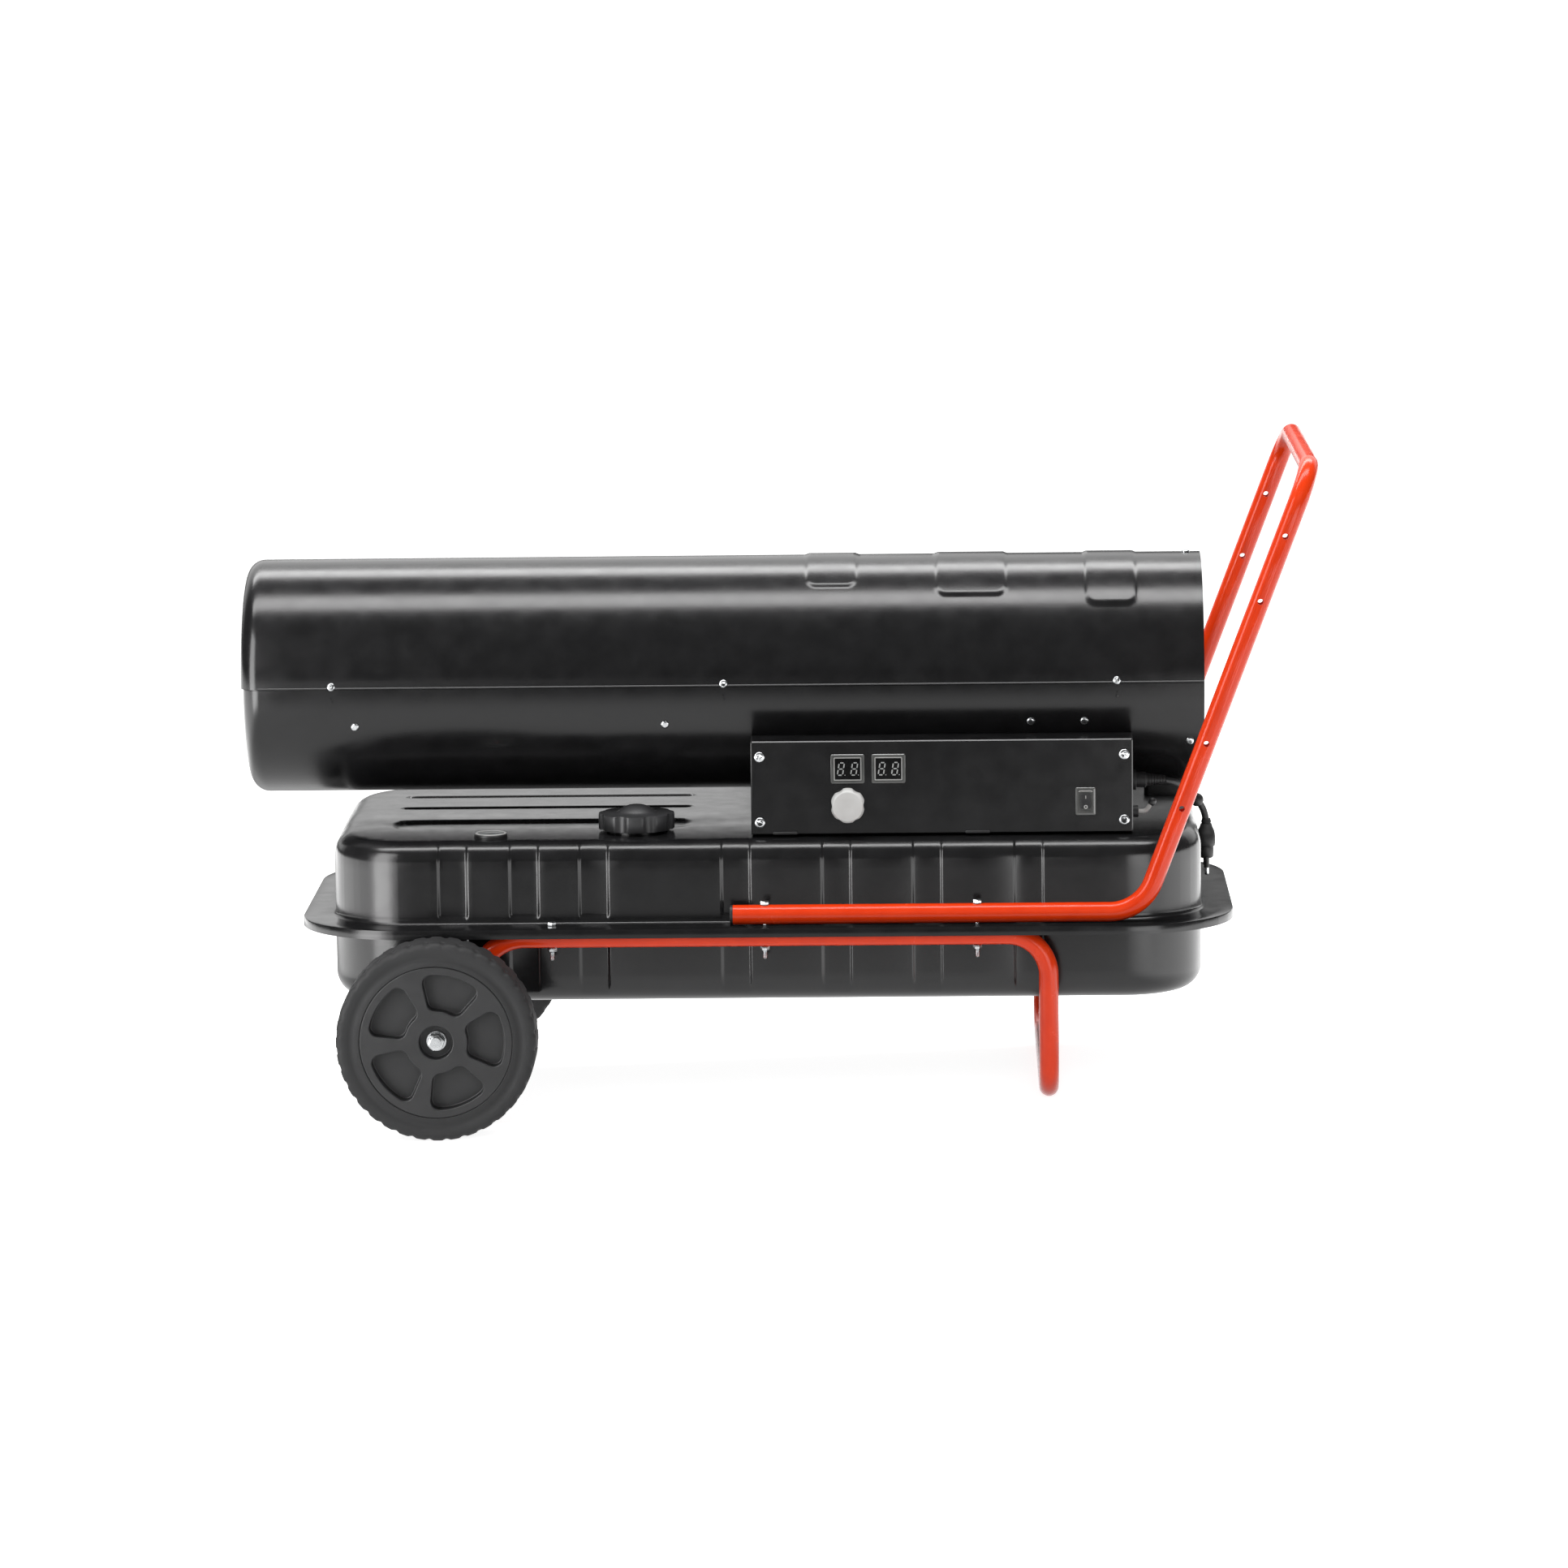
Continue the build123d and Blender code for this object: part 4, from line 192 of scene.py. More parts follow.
def add_room():
    """White room that mirrors bright at the back but for low cards, and dark overhead and in front."""
    world = bpy.data.worlds.new("room")
    bpy.context.scene.world = world
    world.use_nodes = True
    tree = world.node_tree
    background = tree.nodes["Background"]
    rays = add_node(tree, "ShaderNodeLightPath")
    place = add_node(tree, "ShaderNodeTexCoord")
    parts = add_node(tree, "ShaderNodeSeparateXYZ")
    tree.links.new(place.outputs["Generated"], parts.inputs[0])
    back = spread_between(tree, parts.outputs["Y"], 0.50, 0.70, 0.14, 1.25)
    rear_end = spread_between(tree, parts.outputs["X"], -0.012, 0.012, 0.0, 0.9)
    low = spread_between(tree, parts.outputs["Y"], 0.955, 0.975, 0.0, 1.0)
    card = math_node(tree, "MULTIPLY", rear_end, low)
    back = math_node(tree, "MULTIPLY", back, math_node(tree, "SUBTRACT", 1.0, card))
    skirting = spread_between(tree, parts.outputs["Z"], 0.090, 0.150, 0.06, 1.0)
    back = math_node(tree, "MULTIPLY", back, skirting)
    mirrored = math_node(tree, "MULTIPLY", rays.outputs["Is Glossy Ray"], back)
    seen = math_node(tree, "MAXIMUM", rays.outputs["Is Camera Ray"], rays.outputs["Is Transmission Ray"])
    bright = math_node(tree, "MAXIMUM", seen, mirrored)
    even = math_node(tree, "MULTIPLY", rays.outputs["Is Diffuse Ray"], ROOM_LEVEL)
    level = math_node(tree, "MAXIMUM", bright, even)
    tree.links.new(level, background.inputs["Strength"])
    background.inputs["Color"].default_value = (1, 1, 1, 1)


def mirrored_floor(tree):
    """Brightness of the floor in mirrors: dark towards the camera, bright beside the heater."""
    place = add_node(tree, "ShaderNodeTexCoord")
    parts = add_node(tree, "ShaderNodeSeparateXYZ")
    tree.links.new(place.outputs["Object"], parts.inputs[0])
    near = spread_between(tree, parts.outputs["Y"], -1.65, -0.95, 0.46, 1.25)
    far = spread_between(tree, parts.outputs["Y"], -2.3, -1.95, 0.12, 1.0)
    behind = spread_between(tree, parts.outputs["Y"], 0.3, 0.8, 1.0, 0.5)
    left = spread_between(tree, parts.outputs["X"], -1.35, -0.95, 2.4, 0.0)
    right = spread_between(tree, parts.outputs["X"], 0.45, 0.75, 0.0, 1.8)
    beside = spread_between(tree, parts.outputs["Y"], -1.3, -1.05, 0.0, 1.0)
    sides = math_node(tree, "ADD", left, math_node(tree, "MULTIPLY", right, beside))
    plain = math_node(tree, "MULTIPLY", math_node(tree, "MULTIPLY", near, far), behind)
    return math_node(tree, "ADD", plain, sides)


def add_floor():
    """Pale floor that keeps the heater's shadow."""
    bm = bmesh.new()
    bmesh.ops.create_circle(bm, cap_ends=True, segments=96, radius=60.0)
    mesh = bpy.data.meshes.new("floor")
    bm.to_mesh(mesh)
    bm.free()
    floor = bpy.data.objects.new("floor", mesh)
    bpy.context.scene.collection.objects.link(floor)
    look = bpy.data.materials.new("pale_floor")
    look.use_nodes = True
    tree = look.node_tree
    tree.nodes.clear()
    rays = add_node(tree, "ShaderNodeLightPath")
    seen = math_node(tree, "MAXIMUM", rays.outputs["Is Camera Ray"], rays.outputs["Is Transmission Ray"])
    matt = linked(tree, add_node(tree, "ShaderNodeBsdfDiffuse"), Color=(0.82, 0.82, 0.82, 1))
    glow = add_node(tree, "ShaderNodeEmission")
    tree.links.new(math_node(tree, "MULTIPLY", seen, FLOOR_GLOW), glow.inputs["Strength"])
    lit = add_node(tree, "ShaderNodeAddShader")
    tree.links.new(matt.outputs[0], lit.inputs[0])
    tree.links.new(glow.outputs[0], lit.inputs[1])
    mirror = linked(tree, add_node(tree, "ShaderNodeEmission"), Strength=mirrored_floor(tree))
    both = add_node(tree, "ShaderNodeMixShader")
    tree.links.new(rays.outputs["Is Glossy Ray"], both.inputs[0])
    tree.links.new(lit.outputs[0], both.inputs[1])
    tree.links.new(mirror.outputs[0], both.inputs[2])
    output = add_node(tree, "ShaderNodeOutputMaterial")
    tree.links.new(both.outputs[0], output.inputs["Surface"])
    mesh.materials.append(look)


add_camera()
add_room()
add_floor()
add_lamp("top_softbox", (-0.07, -0.32, 2.62), (-0.07, 0.0, 0.44), (3.2, 0.62), 9.5)
add_lamp("rear_strip", (-0.07, 1.26, 2.24), (-0.07, 0.0, 0.44), (3.2, 0.5), 7.5)
add_lamp("left_panel", (-1.08, -0.93, 0.75), (-0.40, -0.20, 0.75), (0.56, 1.5), 7.5, lights=False)
add_lamp("right_panel", (0.82, -1.25, 0.21), (0.40, -0.19, 0.21), (0.62, 0.40), 3.6, lights=False)
add_lamp("front_fill", (0.3, -3.4, 1.9), (0.0, 0.0, 0.35), (3.0, 1.8), 1.6, mirrored=False)
bpy.context.scene.view_settings.view_transform = "Standard"


# Finishes


def shade(code):
    """Linear colour of a six-digit screen colour."""
    screen = [int(code[place : place + 2], 16) / 255 for place in (0, 2, 4)]
    return (*((x / 12.92 if x <= 0.04045 else ((x + 0.055) / 1.055) ** 2.4) for x in screen), 1.0)


def noise(tree, place, scale, detail=3.0, stretch=(1, 1, 1)):
    """Output of a noise pattern on the piece's own coordinates."""
    mapping = linked(tree, add_node(tree, "ShaderNodeMapping"), Vector=place, Scale=stretch)
    pattern = add_node(tree, "ShaderNodeTexNoise")
    return linked(tree, pattern, Vector=mapping.outputs[0], Scale=scale, Detail=detail).outputs["Fac"]


def ramp(tree, value, stops):
    """Colours spread along a value, as pairs of place and colour."""
    node = add_node(tree, "ShaderNodeValToRGB")
    tree.links.new(value, node.inputs[0])
    bands = node.color_ramp.elements
    while len(bands) < len(stops):
        bands.new(0.5)
    for band, (place, colour) in zip(bands, stops):
        band.position = place
        band.color = colour
    return node.outputs["Color"]


def spread(tree, value, low, high):
    """A noise value spread between two limits."""
    return spread_between(tree, value, 0.3, 0.7, low, high)


def finish_of(name, dark, light, rough, grain, bump, mottle=45.0, stretch=(1, 1, 1), **fixed):
    """Material whose colour drifts between two shades, over a fine bumpy grain.

    rough is the pair of roughness limits, grain the fine pattern's scale, and fixed the shader's own sockets.
    """
    look = bpy.data.materials.new(name)
    look.use_nodes = True
    tree = look.node_tree
    shader = tree.nodes["Principled BSDF"]
    place = add_node(tree, "ShaderNodeTexCoord").outputs["Object"]
    broad = noise(tree, place, mottle, 4.0, stretch)
    fine = noise(tree, place, grain, 2.0, stretch)
    colour = ramp(tree, broad, ((0.3, shade(dark)), (0.7, shade(light))))
    dent = linked(tree, add_node(tree, "ShaderNodeBump"), Height=fine, Strength=bump, Distance=0.0005)
    linked(tree, shader, Base_Color=colour, Roughness=spread(tree, broad, *rough), Normal=dent.outputs[0])
    for socket, value in fixed.items():
        shader.inputs[socket.replace("_", " ")].default_value = value
    return look


def heat_tinted_steel():
    """Bare chamber steel, straw and blue where it runs hottest."""
    look = finish_of("chamber_steel", "8a8279", "a59c90", (0.28, 0.42), 500.0, 0.12, Metallic=1.0)
    tree = look.node_tree
    shader = tree.nodes["Principled BSDF"]
    place = add_node(tree, "ShaderNodeTexCoord").outputs["Object"]
    parts = add_node(tree, "ShaderNodeSeparateXYZ")
    tree.links.new(place, parts.inputs[0])
    along = math_node(tree, "ADD", math_node(tree, "MULTIPLY", parts.outputs["X"], 1.6), 0.8)
    wavy = math_node(tree, "MULTIPLY", noise(tree, place, 12.0), 0.35)
    heat = math_node(tree, "ADD", along, wavy)
    stops = ((0.0, shade("8f8a84")), (0.35, shade("a08a66")), (0.55, shade("6d5f78")), (0.75, shade("8c8680")))
    tree.links.new(ramp(tree, heat, stops), shader.inputs["Base Color"])
    return look


def black_enamel():
    """Satin black powder coat on pressed sheet, with a slight orange peel."""
    return finish_of("black_enamel", "141415", "1a1a1b", (0.20, 0.25), 620.0, 0.07, IOR=1.5)


def red_enamel():
    """Glossy orange-red coat on the tubes."""
    fixed = {"Coat_Weight": 0.2, "Coat_Roughness": 0.10, "Specular_IOR_Level": 0.22}
    return finish_of("red_enamel", "e23705", "ea3d07", (0.22, 0.28), 420.0, 0.05, **fixed)


def wheel_plastic():
    """Dark grey moulded plastic with a fine spark texture."""
    return finish_of("wheel_plastic", "252526", "2c2c2d", (0.42, 0.54), 1500.0, 0.25)


def tyre_rubber():
    """Dusty dark grey tread compound."""
    return finish_of("tyre_rubber", "1d1d1e", "232324", (0.62, 0.75), 1100.0, 0.30)


def zinc_plate():
    """Bright zinc on screws, nuts and bolts."""
    return finish_of("zinc_plate", "b9bbbd", "dcdedf", (0.20, 0.34), 900.0, 0.08, 260.0, Metallic=1.0)


def plain_steel():
    """Bare rolled steel of the inner parts."""
    return finish_of("plain_steel", "7f7e7c", "9c9b98", (0.30, 0.45), 700.0, 0.12, 90.0, Metallic=1.0)


def cast_aluminium():
    """Sand-cast motor and pump cases."""
    return finish_of("cast_aluminium", "8d8f92", "a6a8aa", (0.42, 0.58), 950.0, 0.35, 70.0, Metallic=1.0)


def turned_brass():
    """Machined brass of the nozzle and pick-up."""
    return finish_of("turned_brass", "a88443", "c4a05a", (0.22, 0.36), 900.0, 0.08, 120.0, Metallic=1.0)


def black_plastic():
    """Matt black moulding."""
    return finish_of("black_plastic", "1d1d1e", "242425", (0.42, 0.54), 1300.0, 0.20)


def cap_plastic():
    """Dark grey moulding of the filler cap."""
    return finish_of("cap_plastic", "303031", "38383a", (0.36, 0.46), 1300.0, 0.15)


def gauge_plastic():
    """Mid-grey moulding of the gauge's bezel and dial."""
    return finish_of("gauge_plastic", "262626", "2f2f2f", (0.28, 0.38), 1300.0, 0.10)


def knob_plastic():
    """Light grey moulding of the knob."""
    return finish_of("knob_plastic", "c3c3c1", "d0d0ce", (0.38, 0.48), 1200.0, 0.12)


def grey_plastic():
    """Mid-grey moulding and sleeving, also put on the display, switch and gauge rims as a painted highlight."""
    return finish_of("grey_plastic", "9a9a98", "acacaa", (0.36, 0.48), 1200.0, 0.15)


def bezel_plastic():
    """Smoky clear frame round each display and the switch."""
    return finish_of("bezel_plastic", "525352", "646563", (0.14, 0.22), 800.0, 0.04, Coat_Weight=0.5)


def window_plastic():
    """Dark smoked display window."""
    return finish_of("window_plastic", "080809", "0b0b0c", (0.12, 0.18), 600.0, 0.02, Coat_Weight=0.3)


def segment_plastic():
    """Pale unlit display segments."""
    return finish_of("segment_plastic", "9a9c9b", "a9abaa", (0.40, 0.50), 900.0, 0.05)


def mark_paint():
    """White print on the switch and gauge."""
    return finish_of("mark_paint", "dcdcdc", "e8e8e8", (0.45, 0.55), 900.0, 0.05)


def red_plastic():
    """Gauge pointer."""
    return finish_of("red_plastic", "b3261a", "c42e1f", (0.30, 0.40), 900.0, 0.06)


def clear_plastic():
    """Gauge lens."""
    fixed = {"Transmission_Weight": 0.95, "IOR": 1.45}
    return finish_of("clear_plastic", "e9eeee", "f2f6f6", (0.03, 0.07), 500.0, 0.02, **fixed)


def black_rubber():
    """Flexible lead, hoses, grommets and gasket."""
    return finish_of("black_rubber", "19191a", "222223", (0.48, 0.60), 1400.0, 0.22)


def board_lacquer():
    """Green circuit board."""
    return finish_of("board_lacquer", "0f4a26", "17602f", (0.24, 0.36), 700.0, 0.10, 150.0)


def white_ceramic():
    """Glazed electrode insulators."""
    return finish_of("white_ceramic", "d8d2c6", "e6e1d6", (0.16, 0.26), 500.0, 0.05)


def white_nylon():
    """Float and arm."""
    return finish_of("white_nylon", "d3d2c8", "e1e0d8", (0.40, 0.50), 900.0, 0.08)


ENAMEL = black_enamel()
RED = red_enamel()
WHEEL = wheel_plastic()
TYRE = tyre_rubber()
ZINC = zinc_plate()
STEEL = plain_steel()
CAST = cast_aluminium()
BRASS = turned_brass()
BLACK = black_plastic()
CAP = cap_plastic()
GAUGE_GREY = gauge_plastic()
KNOB = knob_plastic()
# Mid-grey for sleeving and mouldings, and a painted highlight on the display, switch and gauge rims.
GREY_AND_PAINTED_HIGHLIGHT = grey_plastic()
BEZEL = bezel_plastic()
WINDOW = window_plastic()
SEGMENT = segment_plastic()
MARK = mark_paint()
POINTER = red_plastic()
CLEAR = clear_plastic()
RUBBER = black_rubber()
BOARD = board_lacquer()
CERAMIC = white_ceramic()
NYLON = white_nylon()
CHAMBER = heat_tinted_steel()


# Building pieces


def points_inwards(bm, middle):
    """Whether most of a shell's faces look towards its middle."""
    total = sum(face.calc_area() * face.normal.dot(face.calc_center_median() - middle) for face in bm.faces)
    return total < 0


def settle(piece):
    """Turns a piece's modifiers into plain mesh."""
    graph = bpy.context.evaluated_depsgraph_get()
    made = bpy.data.meshes.new_from_object(piece.evaluated_get(graph))
    rough = piece.data
    piece.modifiers.clear()
    piece.data = made
    bpy.data.meshes.remove(rough)
    made.name = piece.name


def even_shading(piece):
    """Keeps flat faces flat beside rounded edges."""
    normals = piece.modifiers.new("normals", "WEIGHTED_NORMAL")
    normals.keep_sharp = True
    normals.weight = 80
    settle(piece)


def as_object(name, bm, matrix):
    """Object of a mesh laid out level, put where it stands."""
    bm.transform(matrix)
    mesh = bpy.data.meshes.new(name)
    bm.to_mesh(mesh)
    bm.free()
    thing = bpy.data.objects.new(name, mesh)
    bpy.context.scene.collection.objects.link(thing)
    return thing


def dressed(piece, look, body, stands_for, sharp):
    """Gives a finished mesh its shading, material and body, and hides the parts it stands for."""
    mesh = piece.data
    mesh.shade_smooth()
    mesh.set_sharp_from_angle(angle=math.radians(sharp))
    mesh.materials.clear()
    mesh.materials.append(look)
    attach(piece, body)
    if stands_for:
        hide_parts(*stands_for)
    return piece


def add_piece(
    name, bm, look, body="chassis", stands_for=(), middle=None, wall=0.0, holes=None, edge=0.0, sharp=40
):
    """Finishes a level mesh as a piece, with a wall, holes and rounded edges where they are given."""
    bmesh.ops.remove_doubles(bm, verts=bm.verts[:], dist=0.002)
    bmesh.ops.recalc_face_normals(bm, faces=bm.faces[:])
    if middle is not None and points_inwards(bm, Vector(middle)):
        bmesh.ops.reverse_faces(bm, faces=bm.faces[:])
    piece = as_object(name, bm, STAND)
    if wall:
        skin = piece.modifiers.new("wall", "SOLIDIFY")
        skin.thickness = wall * MM
        skin.offset = -1
        skin.use_even_offset = True
    cutter = None
    if holes is not None:
        bmesh.ops.recalc_face_normals(holes, faces=holes.faces[:])
        cutter = as_object("cutter", holes, STAND)
        cut = piece.modifiers.new("holes", "BOOLEAN")
        cut.operation = "DIFFERENCE"
        cut.solver = "EXACT"
        cut.object = cutter
    if edge:
        soft = piece.modifiers.new("edge", "BEVEL")
        soft.width = edge * MM
        soft.segments = 2
        soft.limit_method = "ANGLE"
        soft.angle_limit = math.radians(sharp)
    if piece.modifiers:
        settle(piece)
    if cutter is not None:
        bpy.data.objects.remove(cutter)
    return dressed(piece, look, body, stands_for, sharp)


def softened(name, node, look, edge, body="chassis", segments=2, sharp=32):
    """A CAD node's own shape with its edges rounded."""
    bm = bmesh.new()
    bm.from_mesh(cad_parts[node].data)
    bmesh.ops.remove_doubles(bm, verts=bm.verts[:], dist=1e-6)
    flat = math.radians(0.5)
    bmesh.ops.dissolve_limit(bm, angle_limit=flat, verts=bm.verts[:], edges=bm.edges[:])
    corner = math.radians(sharp)
    edges = [line for line in bm.edges if line.is_manifold and line.calc_face_angle() > corner]
    bmesh.ops.bevel(
        bm,
        geom=edges,
        offset=edge * MM,
        offset_type="OFFSET",
        segments=segments,
        profile=0.5,
        affect="EDGES",
        clamp_overlap=True,
        material=-1,
    )
    piece = as_object(name, bm, Matrix.Identity(4))
    dressed(piece, look, body, (node,), sharp)
    even_shading(piece)
    return piece


def keep_node(node, look):
    """Gives a CAD node that stays in view its material."""
    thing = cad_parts[node]
    if not thing.material_slots:
        thing.data.materials.append(None)
    for slot in thing.material_slots:
        slot.material = look


def line_of(bm, points):
    """Open line of edges through points."""
    corners = [bm.verts.new(point) for point in points]
    return corners + [bm.edges.new(pair) for pair in zip(corners, corners[1:])]


def lathe(bm, profile, origin, axis, steps=48, angle=math.tau, start=None):
    """Turns a profile of pairs, along the axis and out from it, about that axis."""
    axis = Vector(axis).normalized()
    side = Vector(start) if start else axis.orthogonal().normalized()
    line = line_of(bm, [Vector(origin) + axis * along + side * out for along, out in profile])
    full = abs(angle - math.tau) < 1e-6
    return bmesh.ops.spin(bm, geom=line, cent=origin, axis=axis, angle=angle, steps=steps, use_merge=full)


def arc(centre, radius, first, last, steps):
    """Points of an arc in a profile's plane, by degrees from along the axis towards out from it."""
    turns = [math.radians(first + (last - first) * step / steps) for step in range(steps + 1)]
    return [(centre[0] + radius * math.cos(turn), centre[1] + radius * math.sin(turn)) for turn in turns]


def corners_in(items):
    """Points among an operator's results."""
    return [item for item in items if isinstance(item, bmesh.types.BMVert)]


def lines_in(items):
    """Edges among an operator's results."""
    return [item for item in items if isinstance(item, bmesh.types.BMEdge)]


def grown(bm, edges, place):
    """Extrudes edges once and puts each new point where a function of its old place says."""
    made = bmesh.ops.extrude_edge_only(bm, edges=edges)["geom"]
    corners = set(corners_in(made))
    for corner in corners:
        corner.co = place(corner.co)
    return [line for line in lines_in(made) if set(line.verts) <= corners]


def soft_field(x, y, middle, size, corner, soft):
    """1 within a rounded rectangle and 0 outside it, with a soft edge."""
    dx = abs(x - middle[0]) - size[0] / 2 + corner
    dy = abs(y - middle[1]) - size[1] / 2 + corner
    outside = math.hypot(max(dx, 0), max(dy, 0)) + min(max(dx, dy), 0) - corner
    share = min(max(0.5 - outside / soft, 0), 1)
    return share * share * (3 - 2 * share)


def ring_of(made):
    """Edges of a new circle, in a steady order."""
    return list(dict.fromkeys(line for corner in made["verts"] for line in corner.link_edges))


def fill_openings(bm):
    """Closes every open rim with a flat face."""
    bmesh.ops.holes_fill(bm, edges=[line for line in bm.edges if line.is_boundary])


def round_edges(bm, edges, offset, segments):
    """Bevels edges to a round profile."""
    bmesh.ops.bevel(bm, geom=edges, offset=offset, segments=segments, profile=0.5, affect="EDGES", material=-1)


def add_block(bm, place, size):
    """Box of a size about a point, or in the frame of a matrix."""
    matrix = place if isinstance(place, Matrix) else Matrix.Translation(place)
    bmesh.ops.create_cube(bm, size=1.0, matrix=matrix @ Matrix.Diagonal((*size, 1)))


def rounded_plate(size, corner, segments, place):
    """Bmesh of a flat rounded rectangle about a point."""
    bm = bmesh.new()
    bmesh.ops.create_grid(bm, x_segments=1, y_segments=1, size=0.5)
    bmesh.ops.scale(bm, vec=(*size, 1), verts=bm.verts[:])
    bmesh.ops.bevel(
        bm, geom=bm.verts[:], offset=corner, segments=segments, profile=0.5, affect="VERTICES", material=-1
    )
    bmesh.ops.translate(bm, vec=place, verts=bm.verts[:])
    return bm


def facing(place, direction, turn=0.0):
    """Matrix that puts a template's Z along a direction."""
    look = Vector(direction).to_track_quat("Z", "Y").to_matrix().to_4x4()
    return Matrix.Translation(place) @ look @ Matrix.Rotation(turn, 4, "Z")


def stamp(bm, template, matrix):
    """Adds a copy of a template mesh."""
    before = len(bm.verts)
    bm.from_mesh(template)
    bm.verts.ensure_lookup_table()
    bmesh.ops.transform(bm, matrix=matrix, verts=bm.verts[before:])


def as_template(bm):
    """Closed template mesh from a bmesh."""
    bmesh.ops.remove_doubles(bm, verts=bm.verts[:], dist=0.001)
    bmesh.ops.recalc_face_normals(bm, faces=bm.faces[:])
    mesh = bpy.data.meshes.new("template")
    bm.to_mesh(mesh)
    bm.free()
    return mesh


def rods(places, radius, sides=24):
    """Bmesh of closed round bars between pairs of points."""
    bm = bmesh.new()
    for start, end in places:
        run = Vector(end) - Vector(start)
        matrix = facing((Vector(start) + Vector(end)) / 2, run)
        bmesh.ops.create_cone(
            bm, cap_ends=True, segments=sides, radius1=radius, radius2=radius, depth=run.length, matrix=matrix
        )
    return bm


def around(angle):
    """Direction square to the barrel's axis, in degrees from the top towards the controls."""
    turn = math.radians(angle)
    return Vector((0, -math.sin(turn), math.cos(turn)))


def off_axis(x, angle, radius):
    """Point at an angle and radius from the barrel's axis."""
    return Vector((x, 0, BARREL_Z)) + around(angle) * radius


# Barrel

SEAM_GAP = 0.45
PAD_SOFT = 4.0
SEAM_SCREW_X = (-111.8, 289.9, 692.2)
SEAM_HOLE_ANGLE = 94
SEAM_HOLE_R = 1.3
STRIP_GAP = 0.1
STRIP_ANGLE = math.radians(11)


def barrel_profile(front, stops):
    """Rolled lip and the places along the skin that need a ring of points."""
    lip = arc((front + LIP_R, BARREL_R - LIP_R), LIP_R, 180, 90, 10)
    plain = [front + LIP_R + step * (BARREL_BACK - front - LIP_R) / 40 for step in range(1, 41)]
    return lip + [(x, BARREL_R) for x in sorted(set(plain + stops)) if x > front + LIP_R + 1]


def half_barrel(front, stops, near_first):
    """Half of the barrel's skin, from one seam round to the other."""
    bm = bmesh.new()
    slip = math.asin(SEAM_GAP / BARREL_R)
    side = -1 if near_first else 1
    start = Vector((0, side * math.cos(slip), side * math.sin(slip)))
    lathe(bm, barrel_profile(front, stops), (0, 0, BARREL_Z), (1, 0, 0), 180, math.pi - 2 * slip, start)
    return bm


def pad_cuts():
    """Places along the barrel where the raised fields' soft edges need points."""
    ends = [(end, way) for first, last, _ in PADS for end, way in ((first, 1), (last, -1))]
    return [end + way * step for end, way in ends for step in range(-4, 13, 2)]


def add_seam_strips(middle):
    """Strips that lap behind the two seams, from the lip to the rear end."""
    bm = bmesh.new()
    front = BARREL_FRONT + LOWER_FRONT_STEP + LIP_R
    ends = arc((front, BARREL_R - LIP_R), LIP_R - BARREL_WALL - STRIP_GAP, 180, 90, 10)
    ends.append((BARREL_BACK, BARREL_R - BARREL_WALL - STRIP_GAP))
    for side in (-1, 1):
        start = Vector((0, side, -0.085)).normalized()
        lathe(bm, ends, (0, 0, BARREL_Z), (1, 0, 0), 8, side * STRIP_ANGLE, start)
    add_piece("seam_strips", bm, ENAMEL, middle=middle, wall=BARREL_WALL)


def add_barrel():
    """Upper shell with its three raised fields, and lower shell with the strips that lap behind the seams."""
    bm = half_barrel(BARREL_FRONT, pad_cuts(), False)
    for corner in bm.verts:
        out = Vector((0, corner.co.y, corner.co.z - BARREL_Z))
        rise = sum(
            soft_field(corner.co.x, corner.co.y, ((a + b) / 2, 0), (b - a, 2 * half), PAD_CORNER, PAD_SOFT)
            for a, b, half in PADS
        )
        corner.co += out.normalized() * rise * PAD_RISE
    middle = (TANK_X, 0, BARREL_Z)
    add_piece(
        "barrel_top", bm, ENAMEL, stands_for=["barrel_upper_shell"], middle=middle, wall=BARREL_WALL
    )
    bm = half_barrel(BARREL_FRONT + LOWER_FRONT_STEP, [], True)
    angles = (SEAM_HOLE_ANGLE, -SEAM_HOLE_ANGLE)
    places = [(off_axis(x, angle, 100), off_axis(x, angle, 140)) for x in SEAM_SCREW_X for angle in angles]
    holes = rods(places, SEAM_HOLE_R, 16)
    add_piece(
        "barrel_bottom", bm, ENAMEL, stands_for=["barrel_lower_shell"], middle=middle,
        wall=BARREL_WALL, holes=holes,
    )
    add_seam_strips(middle)


# Outline of the lip: out from the barrel's skin and up from the seam
SEAM_LIP = ((-0.4, 2.3), (0.05, 2.0), (0.35, 1.7), (2.0, 0.82), (2.15, 0.6), (2.0, 0.45), (-0.4, 0.45))
RIVET_X = (-111.8, -15.0, 289.9, 692.2)
RIVET_ANGLE = 96.2
RIVET = ((-0.3, 0.0), (-0.3, 1.5), (0.3, 1.5), (0.7, 1.1), (0.9, 0.0))


def add_seam_lips():
    """Lip turned out along both seams of the upper shell, and the small rivets under it."""
    bm = bmesh.new()
    start = BARREL_FRONT + LIP_R
    for side in (-1, 1):
        made = bmesh.ops.create_circle(bm, radius=1.0, segments=len(SEAM_LIP))
        for corner, (out, up) in zip(made["verts"], SEAM_LIP):
            corner.co = (start, side * (BARREL_R + out), BARREL_Z + up)
        ring = ring_of(made)
        bmesh.ops.edgeloop_fill(bm, edges=ring)
        ring = grown(bm, ring, lambda co: co + Vector((BARREL_BACK - start - 0.3, 0, 0)))
        bmesh.ops.edgeloop_fill(bm, edges=ring)
        for x in RIVET_X:
            angle = side * RIVET_ANGLE
            lathe(bm, RIVET, off_axis(x, angle, BARREL_R), around(angle), 16)
    add_piece("seam_lips", bm, ENAMEL, sharp=25)


GUARD_RINGS = (14.0, 32.0, 50.0, 68.0, 86.0, 104.0)
GUARD_WIRE_R = 1.3
GUARD_SPOKE_R = 1.6
GUARD_RIM_R = 118.3


